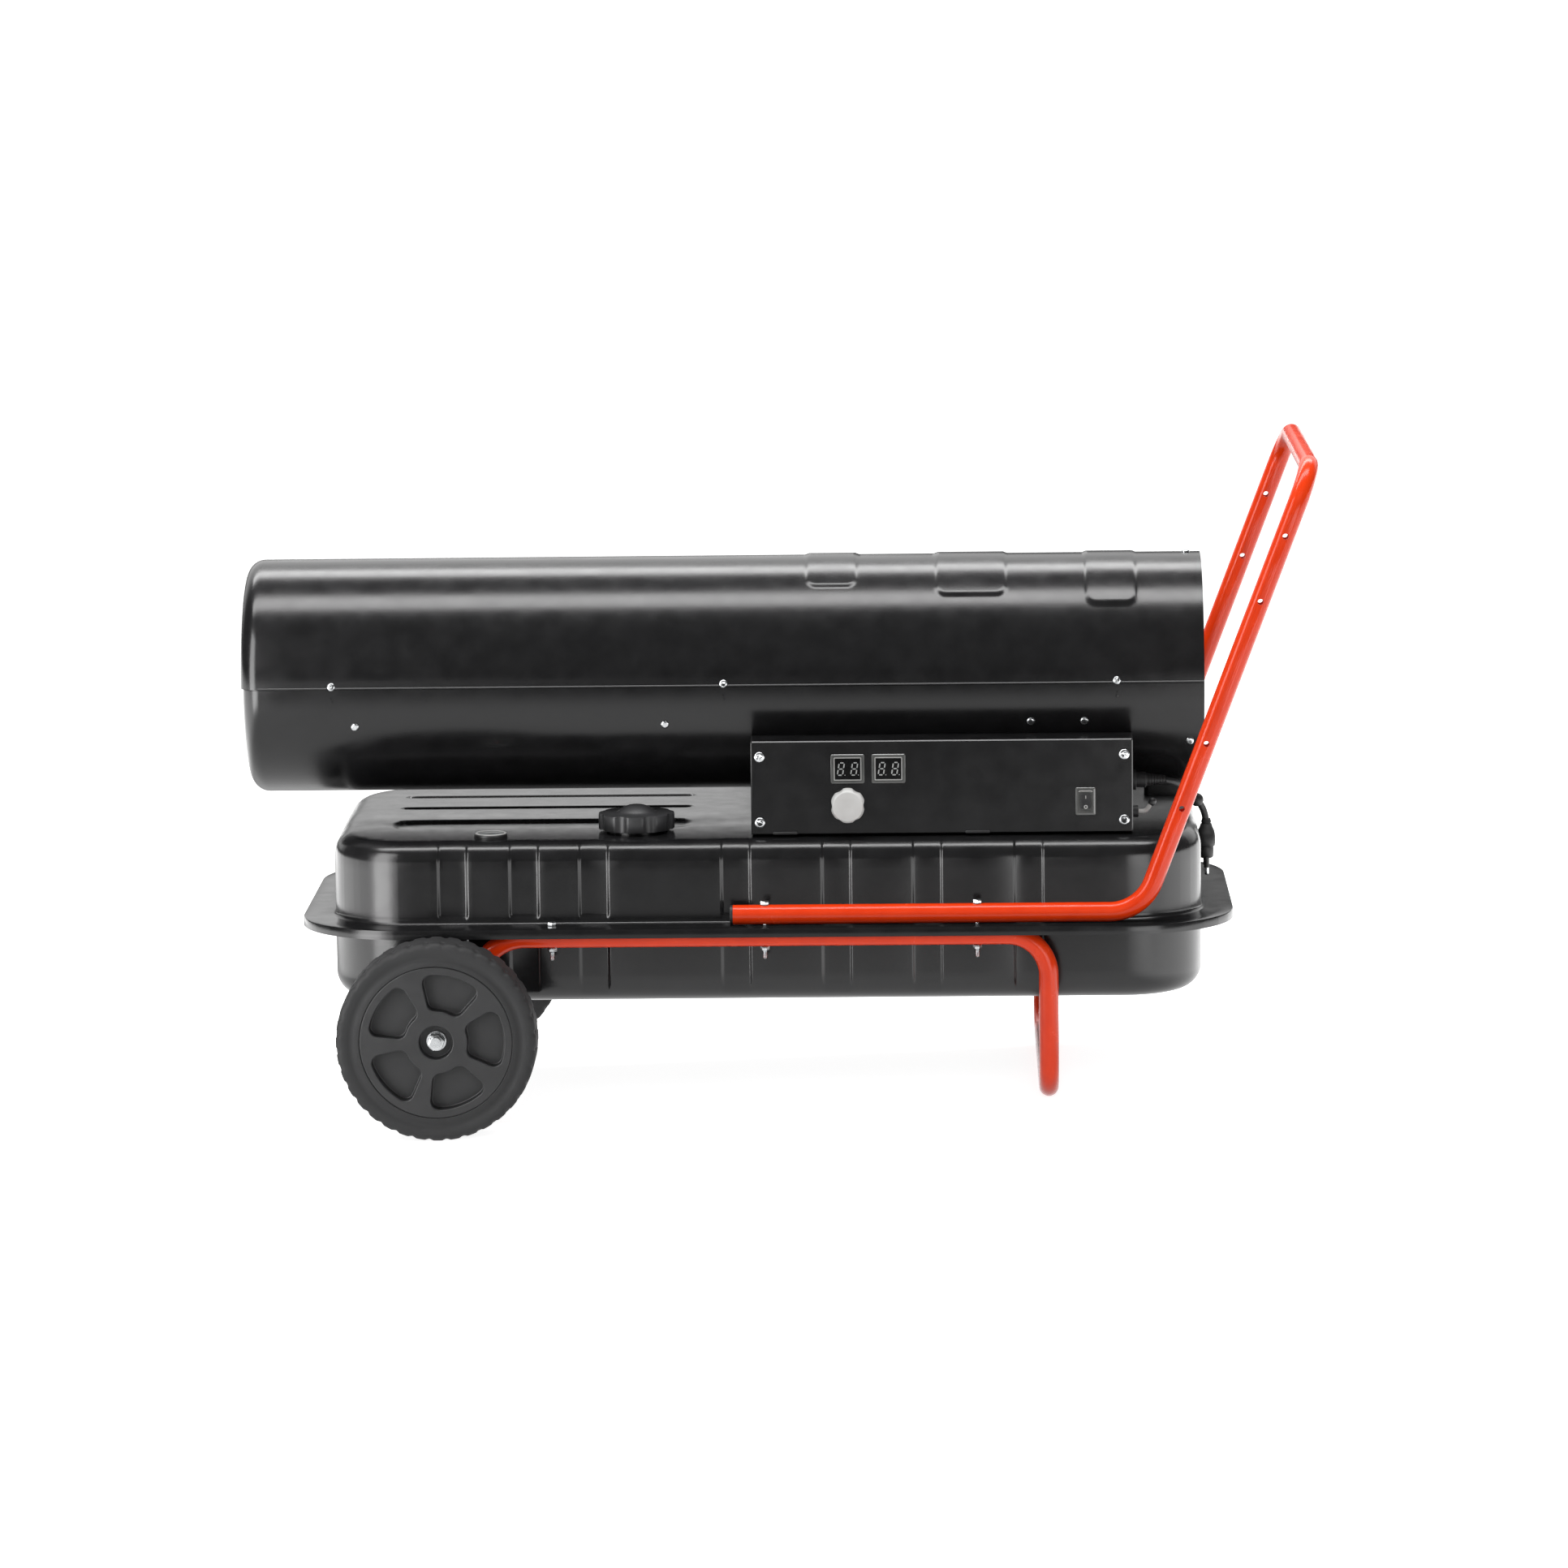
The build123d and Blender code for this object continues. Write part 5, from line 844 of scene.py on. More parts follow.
def add_guard():
    """Round wires and spokes of the inlet guard, with the rim they are welded to."""
    bm = bmesh.new()
    face = BARREL_BACK - 2 * GUARD_WIRE_R
    for radius in GUARD_RINGS:
        wire = arc((face, radius), GUARD_WIRE_R, 0, 360, 10)
        lathe(bm, wire, (0, 0, BARREL_Z), (1, 0, 0), 96)
    back = face - GUARD_SPOKE_R
    for spoke in range(8):
        ends = [off_axis(back, 45 * (spoke + 0.5), radius) for radius in (GUARD_RINGS[0], GUARD_RIM_R - 0.6)]
        matrix = facing((ends[0] + ends[1]) / 2, ends[1] - ends[0])
        long = (ends[1] - ends[0]).length
        bmesh.ops.create_cone(
            bm, cap_ends=True, segments=14, radius1=GUARD_SPOKE_R, radius2=GUARD_SPOKE_R, depth=long, matrix=matrix
        )
    rim = [(-22, GUARD_RIM_R - 1.2), (-22, GUARD_RIM_R), (-0.3, GUARD_RIM_R), (0, GUARD_RIM_R - 0.6)]
    rim += [(-0.3, GUARD_RIM_R - 1.2), (-22, GUARD_RIM_R - 1.2)]
    lathe(bm, rim, (BARREL_BACK, 0, BARREL_Z), (1, 0, 0), 120)
    add_piece("inlet_guard_wires", bm, ENAMEL, stands_for=["inlet_guard"])


# Fuel tank


def plan_outline(size, corner, low, cuts_x, cuts_y):
    """Rounded rectangular face about the tank's middle, cut across at the places given."""
    bm = rounded_plate(size, corner, 14, (TANK_X, 0, low))
    planes = [((x, 0, 0), (1, 0, 0)) for x in cuts_x] + [((0, y, 0), (0, 1, 0)) for y in cuts_y]
    for place, normal in planes:
        geometry = bm.verts[:] + bm.edges[:] + bm.faces[:]
        bmesh.ops.bisect_plane(bm, geom=geometry, dist=0.001, plane_co=place, plane_no=normal)
    return bm


def core_of(size, corner):
    """Half lengths between the centres of an outline's corners."""
    return (size[0] / 2 - corner, size[1] / 2 - corner)


def moved_ring(old, new, corner, z, middle):
    """Function that carries a point from one rounded outline to another at height z."""

    def place(co):
        along = min(max(co.x - middle, -old[0]), old[0])
        across = min(max(co.y, -old[1]), old[1])
        out = Vector((co.x - middle - along, co.y - across)).normalized()
        x = middle + along * new[0] / old[0] + out.x * corner
        return Vector((x, across * new[1] / old[1] + out.y * corner, z))

    return place


def grow_rings(bm, old, rings, middle):
    """Grows a plate's rim through rings of size, corner and height, and gives the last rim's edges."""
    edges = [line for line in bm.edges if line.is_boundary]
    for size, corner, z in rings:
        new = core_of(size, corner)
        edges = grown(bm, edges, moved_ring(old, new, corner, z, middle))
        old = new
    return edges


def pressed(bm, ends):
    """Sinks the upright bands into a tank shell's two long walls."""
    middle = (ends[0] + ends[1]) / 2
    for corner in bm.verts:
        co = corner.co
        if abs(co.y) < TANK_SIZE[1] / 2 - TOP_EDGE_R or abs(co.y) > TANK_SIZE[1] / 2 + 0.1:
            continue
        sunk = sum(
            soft_field(co.x, co.z, (start + RIB_WIDTH / 2, middle), (RIB_WIDTH, ends[1] - ends[0]), 3.0, 4.0)
            for start in RIB_STARTS
        )
        co.y -= math.copysign(RIB_DEPTH * sunk, co.y)


def rib_cuts():
    """Places along the tank where the bands' soft edges need points."""
    edges = [start + shift for start in RIB_STARTS for shift in (0, RIB_WIDTH)]
    return [edge + step for edge in edges for step in (-2.1, -1.2, -0.4, 0.4, 1.2, 2.1)]


def crowned(bm):
    """Lets the tank's top fall gently towards its near edge, from a broad raised field."""
    start, reach, drop = CROWN
    middle, size, rounding, soft, rise = FIELD
    for corner in bm.verts:
        share = min(max((-corner.co.y - start) / reach, 0), 1)
        height = min(max((corner.co.z - 240) / (TANK_TOP - 240), 0), 1)
        raised = rise * soft_field(corner.co.x, corner.co.y, middle, size, rounding, soft)
        corner.co.z += (raised - drop * (1 - math.cos(share * math.pi / 2))) * height


def inset(size, by):
    """A size drawn in by a distance on every side."""
    return (size[0] - 2 * by, size[1] - 2 * by)


def edge_rings(radius, level, way):
    """Rings of the rounded edge between a tank shell's flat face and its wall."""
    rings = []
    for step in range(1, 9):
        turn = math.pi / 2 * step / 8
        by = radius * (1 - math.sin(turn))
        rings.append((inset(TANK_SIZE, by), TANK_CORNER - by, level - way * radius * (1 - math.cos(turn))))
    return rings


def wall_rings(levels):
    """Plain rings of a tank shell's wall."""
    return [(TANK_SIZE, TANK_CORNER, z) for z in levels]


def spread_rings(levels):
    """Rings outside the wall, as pairs of distance from it and height, for its fillet into the flange."""
    return [(inset(TANK_SIZE, -by), TANK_CORNER + by, z) for by, z in levels]


def flange_rings(levels):
    """Rings of the flange's edge, as pairs of distance within its outline and height."""
    return [(inset(FLANGE_SIZE, by), FLANGE_CORNER - by, z) for by, z in levels]


FILLER_HOLE_R = 28.0
GAUGE_HOLE_R = 17.2


def add_tank_top():
    """Upper pressing of the fuel tank, with its grooves, bands, flange and turned-down lip."""
    cuts_y = list(range(-160, 170, 10))
    for y, width, _, soft in GROOVES:
        edges = [width / 2 + soft * share for share in (-0.6, -0.32, 0, 0.32, 0.6)]
        cuts_y += [y + side * edge for side in (-1, 1) for edge in edges]
    cuts_x = rib_cuts() + [end + step for end in GROOVE_ENDS for step in (-4, -2.5, -1, 0.5, 2, 4)]
    cuts_x += list(range(-130, 320, 15))
    top = inset(TANK_SIZE, TOP_EDGE_R)
    bm = plan_outline(top, TANK_CORNER - TOP_EDGE_R, TANK_TOP, cuts_x, cuts_y)
    length = GROOVE_ENDS[1] - GROOVE_ENDS[0]
    for corner in bm.verts:
        for y, width, depth, soft in GROOVES:
            middle = (sum(GROOVE_ENDS) / 2, y)
            corner.co.z -= depth * soft_field(corner.co.x, corner.co.y, middle, (length, width), width / 2, soft)
    rings = edge_rings(TOP_EDGE_R, TANK_TOP, 1)
    rings += wall_rings([262, 250, 235, 220, 217.5, 215.5, 213.6, 211.7])
    rings += spread_rings([(0.4, 209.6), (1.4, 208.2), (3.2, FLANGE_TOP)])
    rings += flange_rings([(12, FLANGE_TOP), (1.6, FLANGE_TOP), (0.5, FLANGE_TOP - 0.4), (0, FLANGE_TOP - 1.5)])
    rings += flange_rings([(0, 201), (0, LIP_BOTTOM)])
    grow_rings(bm, core_of(TANK_SIZE, TANK_CORNER), rings, TANK_X)
    pressed(bm, UPPER_RIB_ENDS)
    crowned(bm)
    below = Vector((0, 0, -6))
    holes = rods([(FILLER + below, FILLER - below)], FILLER_HOLE_R, 48)
    gauge_hole = as_template(rods([(GAUGE + below, GAUGE - below)], GAUGE_HOLE_R, 60))
    stamp(holes, gauge_hole, Matrix.Identity(4))
    add_piece(
        "tank_top", bm, ENAMEL, stands_for=["tank_upper_shell"], middle=(TANK_X, 0, 230),
        wall=SHEET, holes=holes,
    )


def add_tank_bottom():
    """Lower pressing of the fuel tank, with its bands and flange."""
    bottom = inset(TANK_SIZE, BOTTOM_EDGE_R)
    bm = plan_outline(bottom, TANK_CORNER - BOTTOM_EDGE_R, TANK_BOTTOM, rib_cuts(), [])
    rings = edge_rings(BOTTOM_EDGE_R, TANK_BOTTOM, -1)
    rings += wall_rings([155, 170, 185, 193, 195.5, 197.5, 199.2, 201.1])
    rings += spread_rings([(0.4, 203.2), (1.4, 204.6), (3.2, FLANGE_BOTTOM)])
    rings += flange_rings([(12, FLANGE_BOTTOM), (1.4, FLANGE_BOTTOM)])
    grow_rings(bm, core_of(TANK_SIZE, TANK_CORNER), rings, TANK_X)
    pressed(bm, LOWER_RIB_ENDS)
    add_piece(
        "tank_bottom", bm, ENAMEL, stands_for=["tank_lower_shell"], middle=(TANK_X, 0, 190),
        wall=SHEET,
    )


# Handle and foot


def bent_pipe(route, bends, radius=TUBE_R, sides=36, bend_step=4.0):
    """Outer skin of a tube along straight runs, bent to the radius given at each inner point."""
    bm = bmesh.new()
    route = [Vector(point) for point in route]
    heading = (route[1] - route[0]).normalized()
    ring = ring_of(bmesh.ops.create_circle(bm, radius=radius, segments=sides, matrix=facing(route[0], heading)))
    here = route[0]
    for corner, after, bend in zip(route[1:], route[2:], bends):
        onward = (after - corner).normalized()
        turn = heading.angle(onward)
        setback = bend * math.tan(turn / 2)
        stop = corner - heading * setback
        ring = grown(bm, ring, lambda co, step=stop - here: co + step)
        axis = heading.cross(onward).normalized()
        centre = stop + axis.cross(heading) * bend
        steps = max(6, round(math.degrees(turn) / bend_step))
        spun = bmesh.ops.spin(bm, geom=ring, cent=centre, axis=axis, angle=turn, steps=steps)["geom_last"]
        ring = lines_in(spun)
        here = corner + onward * setback
        heading = onward
    grown(bm, ring, lambda co, step=route[-1] - here: co + step)
    return bm


HANDLE_POINTS = ((299.3, HANDLE_RAIL_Z), (714.2, HANDLE_RAIL_Z), (885.3, 667.0))
HANDLE_BENDS = (47.0, 40.0, 40.0, 47.0)
HANDLE_HOLES = (72.0, 142.5, 296.5, 367.0)
FOOT_BENDS = (50.0, 42.0, 42.0, 42.0, 42.0, 50.0)


def both_sides(points):
    """Route along the near side, across and back along the far side, from points along and up."""
    near = [(x, -RAIL_Y, z) for x, z in points]
    return near + [(x, -y, z) for x, y, z in reversed(near)]


def add_handle():
    """Red handle tube with its cross holes, and the stoppers in its ends."""
    bm = bent_pipe(both_sides(HANDLE_POINTS), HANDLE_BENDS)
    top = Vector((HANDLE_POINTS[2][0], 0, HANDLE_POINTS[2][1]))
    down = (Vector((HANDLE_POINTS[1][0], 0, HANDLE_POINTS[1][1])) - top).normalized()
    across = Vector((0, 2 * TUBE_R, 0))
    places = []
    for side in (-1, 1):
        for hole in HANDLE_HOLES:
            middle = top + down * hole + Vector((0, side * RAIL_Y, 0))
            places.append((middle - across, middle + across))
    tube = add_piece(
        "handle_frame", bm, RED, stands_for=["handle_tube"], middle=(600, 0, 400),
        wall=TUBE_WALL, holes=rods(places, 3.0, 28), edge=0.35,
    )
    tube.visible_glossy = False  # the photograph's tank wall doesn't mirror the tube
    softened("handle_stoppers", "tube_end_plugs", BLACK, 0.8)


def add_foot():
    """Red foot frame from the axle, along the tank and down to the floor."""
    corner = Vector((FOOT_CORNER_X, 0, FOOT_RAIL_Z))
    axle = Vector((0, 0, WHEEL_R))
    end = axle + (axle - corner).normalized() * 14
    points = ((end.x, end.z), (FOOT_CORNER_X, FOOT_RAIL_Z), (FOOT_X, FOOT_RAIL_Z), (FOOT_X, FOOT_Z))
    add_piece(
        "foot_rail", bent_pipe(both_sides(points), FOOT_BENDS), RED, stands_for=["foot_frame"],
        middle=(330, 0, 120), wall=TUBE_WALL, edge=0.3,
    )


# Wheels

TREAD_BLOCKS = 36
TREAD_STEPS = 8
TREAD_SINK = 1.7
TREAD_REACH = 13.0
SHOULDER_R = 6.0


def add_tyre(name, side, body, node):
    """Tyre with rounded shoulders, a bead line and short blocks along both edges."""
    bm = bmesh.new()
    half = WHEEL_WIDTH / 2
    shoulder = arc((half - SHOULDER_R, WHEEL_R - SHOULDER_R), SHOULDER_R, 0, 90, 6)
    wall = [(half - 0.6, RIM_R + 0.05), (half, RIM_R + 0.7), (half, RIM_R + 5), (half - 0.7, RIM_R + 6)]
    wall += [(half - 0.7, RIM_R + 11), (half, RIM_R + 12.2)]
    tread = [(half - TREAD_REACH + step, WHEEL_R) for step in (4, 1.2, 0, -1.2)]
    outer = wall + shoulder + tread
    profile = outer + [(-along, out) for along, out in reversed(outer)]
    profile = profile + profile[:1]
    centre = Vector((0, side * WHEEL_Y, WHEEL_R))
    lathe(bm, profile, centre, (0, 1, 0), TREAD_BLOCKS * TREAD_STEPS)
    pitch = math.tau / TREAD_BLOCKS
    for corner in bm.verts:
        arm = corner.co - centre
        along = arm.y
        arm.y = 0
        turn = math.atan2(arm.x, arm.z) / pitch
        off_middle = abs(turn - math.floor(turn) - 0.5) * pitch * WHEEL_R
        groove = min(max((3.3 - off_middle) / 2.0, 0), 1) * min(max((abs(along) - half + TREAD_REACH) / 1.5, 0), 1)
        depth = min(max((arm.length - WHEEL_R + 9) / 7, 0), 1)
        corner.co -= arm.normalized() * TREAD_SINK * groove * depth
    add_piece(name, bm, TYRE, body=body, stands_for=[node])


AXLE_NUT_Y = 265.8
WASHER = ((0.0, 5.6), (0.0, 10.0), (0.3, 10.3), (1.2, 10.3), (1.5, 10.0), (1.5, 5.6), (0.0, 5.6))


def add_axle_nuts():
    """Nut and washer in the recess of each wheel."""
    bm = bmesh.new()
    nut = hexagon_head(15.6, 10.0, 1.1)
    for side in (-1, 1):
        place = Vector((0, side * AXLE_NUT_Y, WHEEL_R))
        stamp(bm, nut, facing(place, (0, side, 0), 0.35 * side))
        lathe(bm, WASHER, place - Vector((0, side * 1.5, 0)), (0, side, 0), 36)
    add_piece("axle_fasteners", bm, ZINC, stands_for=["axle_nuts"], sharp=30)


def add_wheels():
    """Both wheels, as moulded centres and their tyres, and the axle between them."""
    for side, word in ((-1, "near"), (1, "far")):
        body = "wheel_" + word
        add_tyre("tyre_tread_" + word, side, body, "tyre_" + word)
        hub = "wheel_hub_" + word
        softened("wheel_centre_" + word, hub, WHEEL, 1.6, body=body, segments=3)
    softened("axle_bar", "axle", ZINC, 0.8)
    softened("axle_sleeves", "axle_spacers", ZINC, 0.5)
    add_axle_nuts()


# Filler and gauge


def scalloped(bm, centre, axis, limits, count, first):
    """Draws points in where they reach into round scallops, by the scallops' radius, depth and outer radius."""
    notch, depth, outer = limits
    reach = outer - depth + notch
    for corner in bm.verts:
        arm = corner.co - centre
        arm -= axis * arm.dot(axis)
        across = axis.orthogonal().normalized()
        turn = math.atan2(arm.dot(axis.cross(across)), arm.dot(across)) - first
        off = (turn + math.pi / count) % (math.tau / count) - math.pi / count
        swing = reach * math.sin(off)
        if abs(swing) >= notch:
            continue
        allowed = reach * math.cos(off) - math.sqrt(notch**2 - swing**2)
        spare = arm.length - allowed * min(arm.length / outer * 1.25, 1)
        if arm.length > 0.6 * outer and spare > 0:
            corner.co -= arm.normalized() * spare


CAP_TOP = 17.8
CAP_LOBES = (9.0, 3.5, 39.0)
DOME_R = 20.5
DOME_RISE = 8.2


def add_filler():
    """Lobed filler cap with its domed middle, and the neck below it."""
    bm = bmesh.new()
    low, top = 1.2, CAP_TOP
    profile = [(low, 31.5), (low, 38.2), (low + 0.8, 39.0), (top - 2.2, 39.0)]
    profile += [(top - 0.5, 38.6), (top - 0.1, 37.6), (top, 36.0), (top, 26.0), (top + 0.1, 22.0), (top + 0.5, 20.0)]
    for out in (18.5, 16.5, 14.0, 11.0, 8.0, 5.0, 2.5, 0.0):
        profile.append((top + DOME_RISE * (1 - (out / DOME_R) ** 2.4), out))
    lathe(bm, profile, FILLER, (0, 0, 1), 160)
    scalloped(bm, FILLER, Vector((0, 0, 1)), CAP_LOBES, 8, math.radians(22.5))
    lathe(bm, [(low, 31.5), (15.1, 31.5), (15.1, 0.0)], FILLER, (0, 0, 1), 160)
    add_piece("filler_lid", bm, CAP, body="cap", stands_for=["filler_cap"], sharp=50)
    softened("filler_collar", "filler_neck", ENAMEL, 0.4)
    keep_node("filler_strainer", STEEL)
    keep_node("cap_gasket", RUBBER)


DIAL_DROP = Vector((0, 0, -0.55))


def add_gauge():
    """Bezel, dial marks, lens and pointer of the fuel gauge, with a light grey rim that paints the highlight on the
    bezel's edge.
    """
    bm = bmesh.new()
    profile = [(-4.2, 13.0), (-4.2, 16.7), (0.05, 16.9), (0.4, 17.0), (1.2, 16.7), (1.9, 15.9)]
    profile += [(2.3, 15.1), (2.4, 14.5), (2.2, 14.05), (1.4, 14.0), (0.2, 14.0), (-0.6, 13.6), (-4.2, 13.0)]
    lathe(bm, profile, GAUGE, (0, 0, 1), 72)
    bmesh.ops.create_circle(bm, cap_ends=True, radius=14.2, segments=72, matrix=Matrix.Translation(GAUGE + DIAL_DROP))
    add_piece("gauge_bezel", bm, GAUGE_GREY, stands_for=["gauge_body"], sharp=50)
    # The light grey rim is a painted highlight on the bezel's edge.
    bm = bmesh.new()
    rim = [(1.9, 16.0), (2.25, 15.8), (2.6, 15.1), (2.65, 14.4), (2.4, 14.0), (1.9, 14.0)]
    lathe(bm, rim + rim[:1], GAUGE, (0, 0, 1), 72)
    add_piece("gauge_rim_painted_highlight", bm, GREY_AND_PAINTED_HIGHLIGHT, sharp=50)
    bm = bmesh.new()
    lathe(bm, [(1.45, 0.0), (1.45, 13.9), (1.95, 13.9), (2.1, 13.6), (2.1, 0.0)], GAUGE, (0, 0, 1), 72)
    add_piece("gauge_glass", bm, CLEAR, stands_for=["gauge_lens"], sharp=30)
    keep_node("gauge_needle", POINTER)
    keep_node("float_arm", NYLON)
    bm = bmesh.new()
    dial = GAUGE + DIAL_DROP + Vector((0, 0, 0.07))
    for step in range(7):
        turn = math.radians(-45 + 15 * step)
        arm = Vector((-math.cos(turn), math.sin(turn), 0))
        wide = 1.0 if step % 3 == 0 else 0.5
        matrix = Matrix.Translation(dial + arm * 11.2) @ Matrix.Rotation(-turn, 4, "Z")
        add_block(bm, matrix, (2.6, wide, 0.12))
    add_piece("gauge_marks", bm, MARK)


# Screws and bolts

LOWER_SCREW_X = (-88.5, 229.5, 604.1, 658.9)
GUARD_SCREW_X = 767.0
THREAD_PITCH = 0.8


def cross_head(radius, height):
    """Template of a pan-head screw with a cross recess, with its seat at the origin."""
    bm = bmesh.new()
    profile = [(0, radius), (0.30 * height, radius), (0.62 * height, 0.94 * radius), (0.86 * height, 0.80 * radius)]
    lathe(bm, profile + [(height, 0.60 * radius)], (0, 0, 0), (0, 0, 1), 28)
    bmesh.ops.remove_doubles(bm, verts=bm.verts[:], dist=0.001)
    fill_openings(bm)
    long, thin = 0.50 * radius, 0.13 * radius
    for normal in ((1, 0, 0), (0, 1, 0)):
        for offset in (-long, -thin, thin, long):
            faces = [face for face in bm.faces if face.calc_center_median().z > 0.97 * height]
            geometry = faces + list(dict.fromkeys(item for face in faces for item in (*face.edges, *face.verts)))
            place = Vector(normal) * offset
            bmesh.ops.bisect_plane(bm, geom=geometry, dist=0.0001, plane_co=place, plane_no=normal)
    slots = []
    for face in bm.faces:
        middle = face.calc_center_median()
        spans = sorted((abs(middle.x), abs(middle.y)))
        if middle.z > 0.97 * height and spans[0] < thin and spans[1] < long:
            slots.append(face)
    made = bmesh.ops.extrude_face_region(bm, geom=slots)["geom"]
    floor = corners_in(made)
    bmesh.ops.translate(bm, vec=(0, 0, -0.55 * height), verts=floor)
    bmesh.ops.scale(bm, vec=(0.75, 0.75, 1), verts=floor)
    return as_template(bm)


def hexagon_head(across, height, chamfer):
    """Template of a hexagonal head or nut with chamfered corners."""
    bm = bmesh.new()
    radius = across / math.sqrt(3)
    bmesh.ops.create_cone(bm, cap_ends=True, segments=6, radius1=radius, radius2=radius, depth=height)
    bmesh.ops.translate(bm, vec=(0, 0, height / 2), verts=bm.verts[:])
    rims = [line for line in bm.edges if abs(line.verts[0].co.z - line.verts[1].co.z) < 0.01]
    round_edges(bm, rims, chamfer, 2)
    return as_template(bm)


def threaded(length, radius):
    """Template of a threaded end that hangs from its origin."""
    bm = bmesh.new()
    profile = [(0, 0)]
    for step in range(int(length / THREAD_PITCH)):
        profile += [(-THREAD_PITCH * step, radius), (-THREAD_PITCH * (step + 0.5), radius - 0.35)]
    profile += [(-length + 0.5, radius), (-length, radius - 0.6), (-length, 0)]
    lathe(bm, profile, (0, 0, 0), (0, 0, 1), 20)
    return as_template(bm)


def add_screws():
    """Pan-head screws of the barrel and of the box's covers."""
    bm = bmesh.new()
    head = cross_head(4.3, 2.2)
    over_seam = 90 - math.degrees(math.asin(3.0 / BARREL_R))
    places = [(x, side * over_seam) for x in SEAM_SCREW_X for side in (-1, 1)]
    places += [(x, side * 109) for x in LOWER_SCREW_X for side in (-1, 1)]
    places += [(GUARD_SCREW_X, angle) for angle in (0, 121, -121)]
    for number, (x, angle) in enumerate(places):
        stamp(bm, head, facing(off_axis(x, angle, BARREL_R), around(angle), 0.7 * number))
    add_piece("barrel_screws", bm, ZINC, stands_for=["shell_screws"], sharp=35)
    bm = bmesh.new()
    head = cross_head(5.5, 2.2)
    number = 0
    for x in (BOX_X[0] + 8.9, BOX_X[1] - 8.9):
        for z in (12.5, 80.0):
            for side in (-1, 1):
                number += 1
                place = (x, side * -PANEL_Y, TANK_TOP + z)
                stamp(bm, head, facing(place, (0, side, 0), 1.1 * number))
    add_piece("cover_screws", bm, ZINC, stands_for=["panel_screws"], sharp=35)


FLANGE_BOLT_X = 115.2
HANDLE_BOLT_X = (331.6, 547.4)
STUD_PLACES = [(x, y) for x in (344.0, 681.0) for y in (-138.0, 138.0)]


def add_bolts():
    """Bolts through handle, flange and foot rail, with their nuts."""
    bolts = bmesh.new()
    nuts = bmesh.new()
    hexagon = hexagon_head(8.0, 4.0, 0.5)
    under = FOOT_RAIL_Z - TUBE_R
    for x in (FLANGE_BOLT_X, *HANDLE_BOLT_X):
        for y in (-RAIL_Y, RAIL_Y):
            seat = FLANGE_TOP if x == FLANGE_BOLT_X else HANDLE_RAIL_Z + TUBE_R
            stamp(bolts, hexagon, Matrix.Translation((x, y, seat)))
            shank = threaded(seat - under + 12.6, 2.5)
            stamp(bolts, shank, Matrix.Translation((x, y, seat)))
            stamp(nuts, hexagon, Matrix.Translation((x, y, under - 4.0)) @ Matrix.Rotation(0.4, 4, "Z"))
    for x, y in STUD_PLACES:
        stamp(nuts, hexagon, Matrix.Translation((x, y, TANK_TOP + SHEET)))
    add_piece("frame_bolts", bolts, ZINC, stands_for=["flange_bolts"], sharp=30)
    add_piece("frame_nuts", nuts, ZINC, stands_for=["flange_nuts"], sharp=30)


# Base box and controls

DISPLAY_X = (416.7, 458.3)
DISPLAY_Z = TANK_TOP + 67.3
DIGIT_HEIGHT = 12.6
DIGIT_WIDTH = 5.3
DIGIT_SHIFT = 6.8
DIGIT_SLANT = math.tan(math.radians(9))
DIGIT_RISE = 0.18
BAR_GAP = 1.5
BAR_THICKNESS = 0.72


def on_panel(place):
    """Matrix that stands a level drawing up on the panel at a place, facing the near side."""
    return Matrix.Translation(place) @ Matrix.Rotation(math.pi / 2, 4, "X")


def digit_bars():
    """Places of a digit's seven bars, as the ends of each in its own upright cell."""
    wide, high = DIGIT_WIDTH / 2, DIGIT_HEIGHT / 2
    flat = [((-wide, level), (wide, level)) for level in (-high, 0, high)]
    upright = [((side, level), (side, level + high)) for side in (-wide, wide) for level in (-high, 0)]
    return flat + upright


def add_bar(bm, start, end, across):
    """One bar of a digit with pointed ends, slanted, in the cell at a place across."""
    first, last = Vector(start), Vector(end)
    middle = (first + last) / 2
    reach = ((last - first).length - BAR_GAP) / 2 - 1
    made = bmesh.ops.create_circle(bm, cap_ends=True, radius=1, segments=6)["verts"]
    bmesh.ops.rotate(bm, cent=(0, 0, 0), matrix=Matrix.Rotation(math.pi / 2, 3, "Z"), verts=made)
    for corner in made:
        corner.co.x += math.copysign(reach, corner.co.x)
        corner.co.y *= BAR_THICKNESS
    turn = Matrix.Rotation(math.atan2(*(last - first).yx), 4, "Z")
    bmesh.ops.transform(bm, matrix=Matrix.Translation((middle.x, middle.y, 0)) @ turn, verts=made)
    for corner in made:
        corner.co.x += across + corner.co.y * DIGIT_SLANT


def add_digits():
    """Two slanted digits with a decimal point in each window."""
    bm = bmesh.new()
    for across in [x + shift for x in DISPLAY_X for shift in (-DIGIT_SHIFT, DIGIT_SHIFT)]:
        for start, end in digit_bars():
            add_bar(bm, start, end, across)
        dot = Matrix.Translation((across + 4.2, -DIGIT_HEIGHT / 2, 0))
        bmesh.ops.create_circle(bm, cap_ends=True, radius=0.5, segments=12, matrix=dot)
    raised = bmesh.ops.extrude_face_region(bm, geom=bm.faces[:])["geom"]
    bmesh.ops.translate(bm, vec=(0, 0, DIGIT_RISE), verts=corners_in(raised))
    bmesh.ops.transform(bm, matrix=on_panel((0, PANEL_Y - 1.07, DISPLAY_Z)), verts=bm.verts[:])
    add_piece("display_digits", bm, SEGMENT)


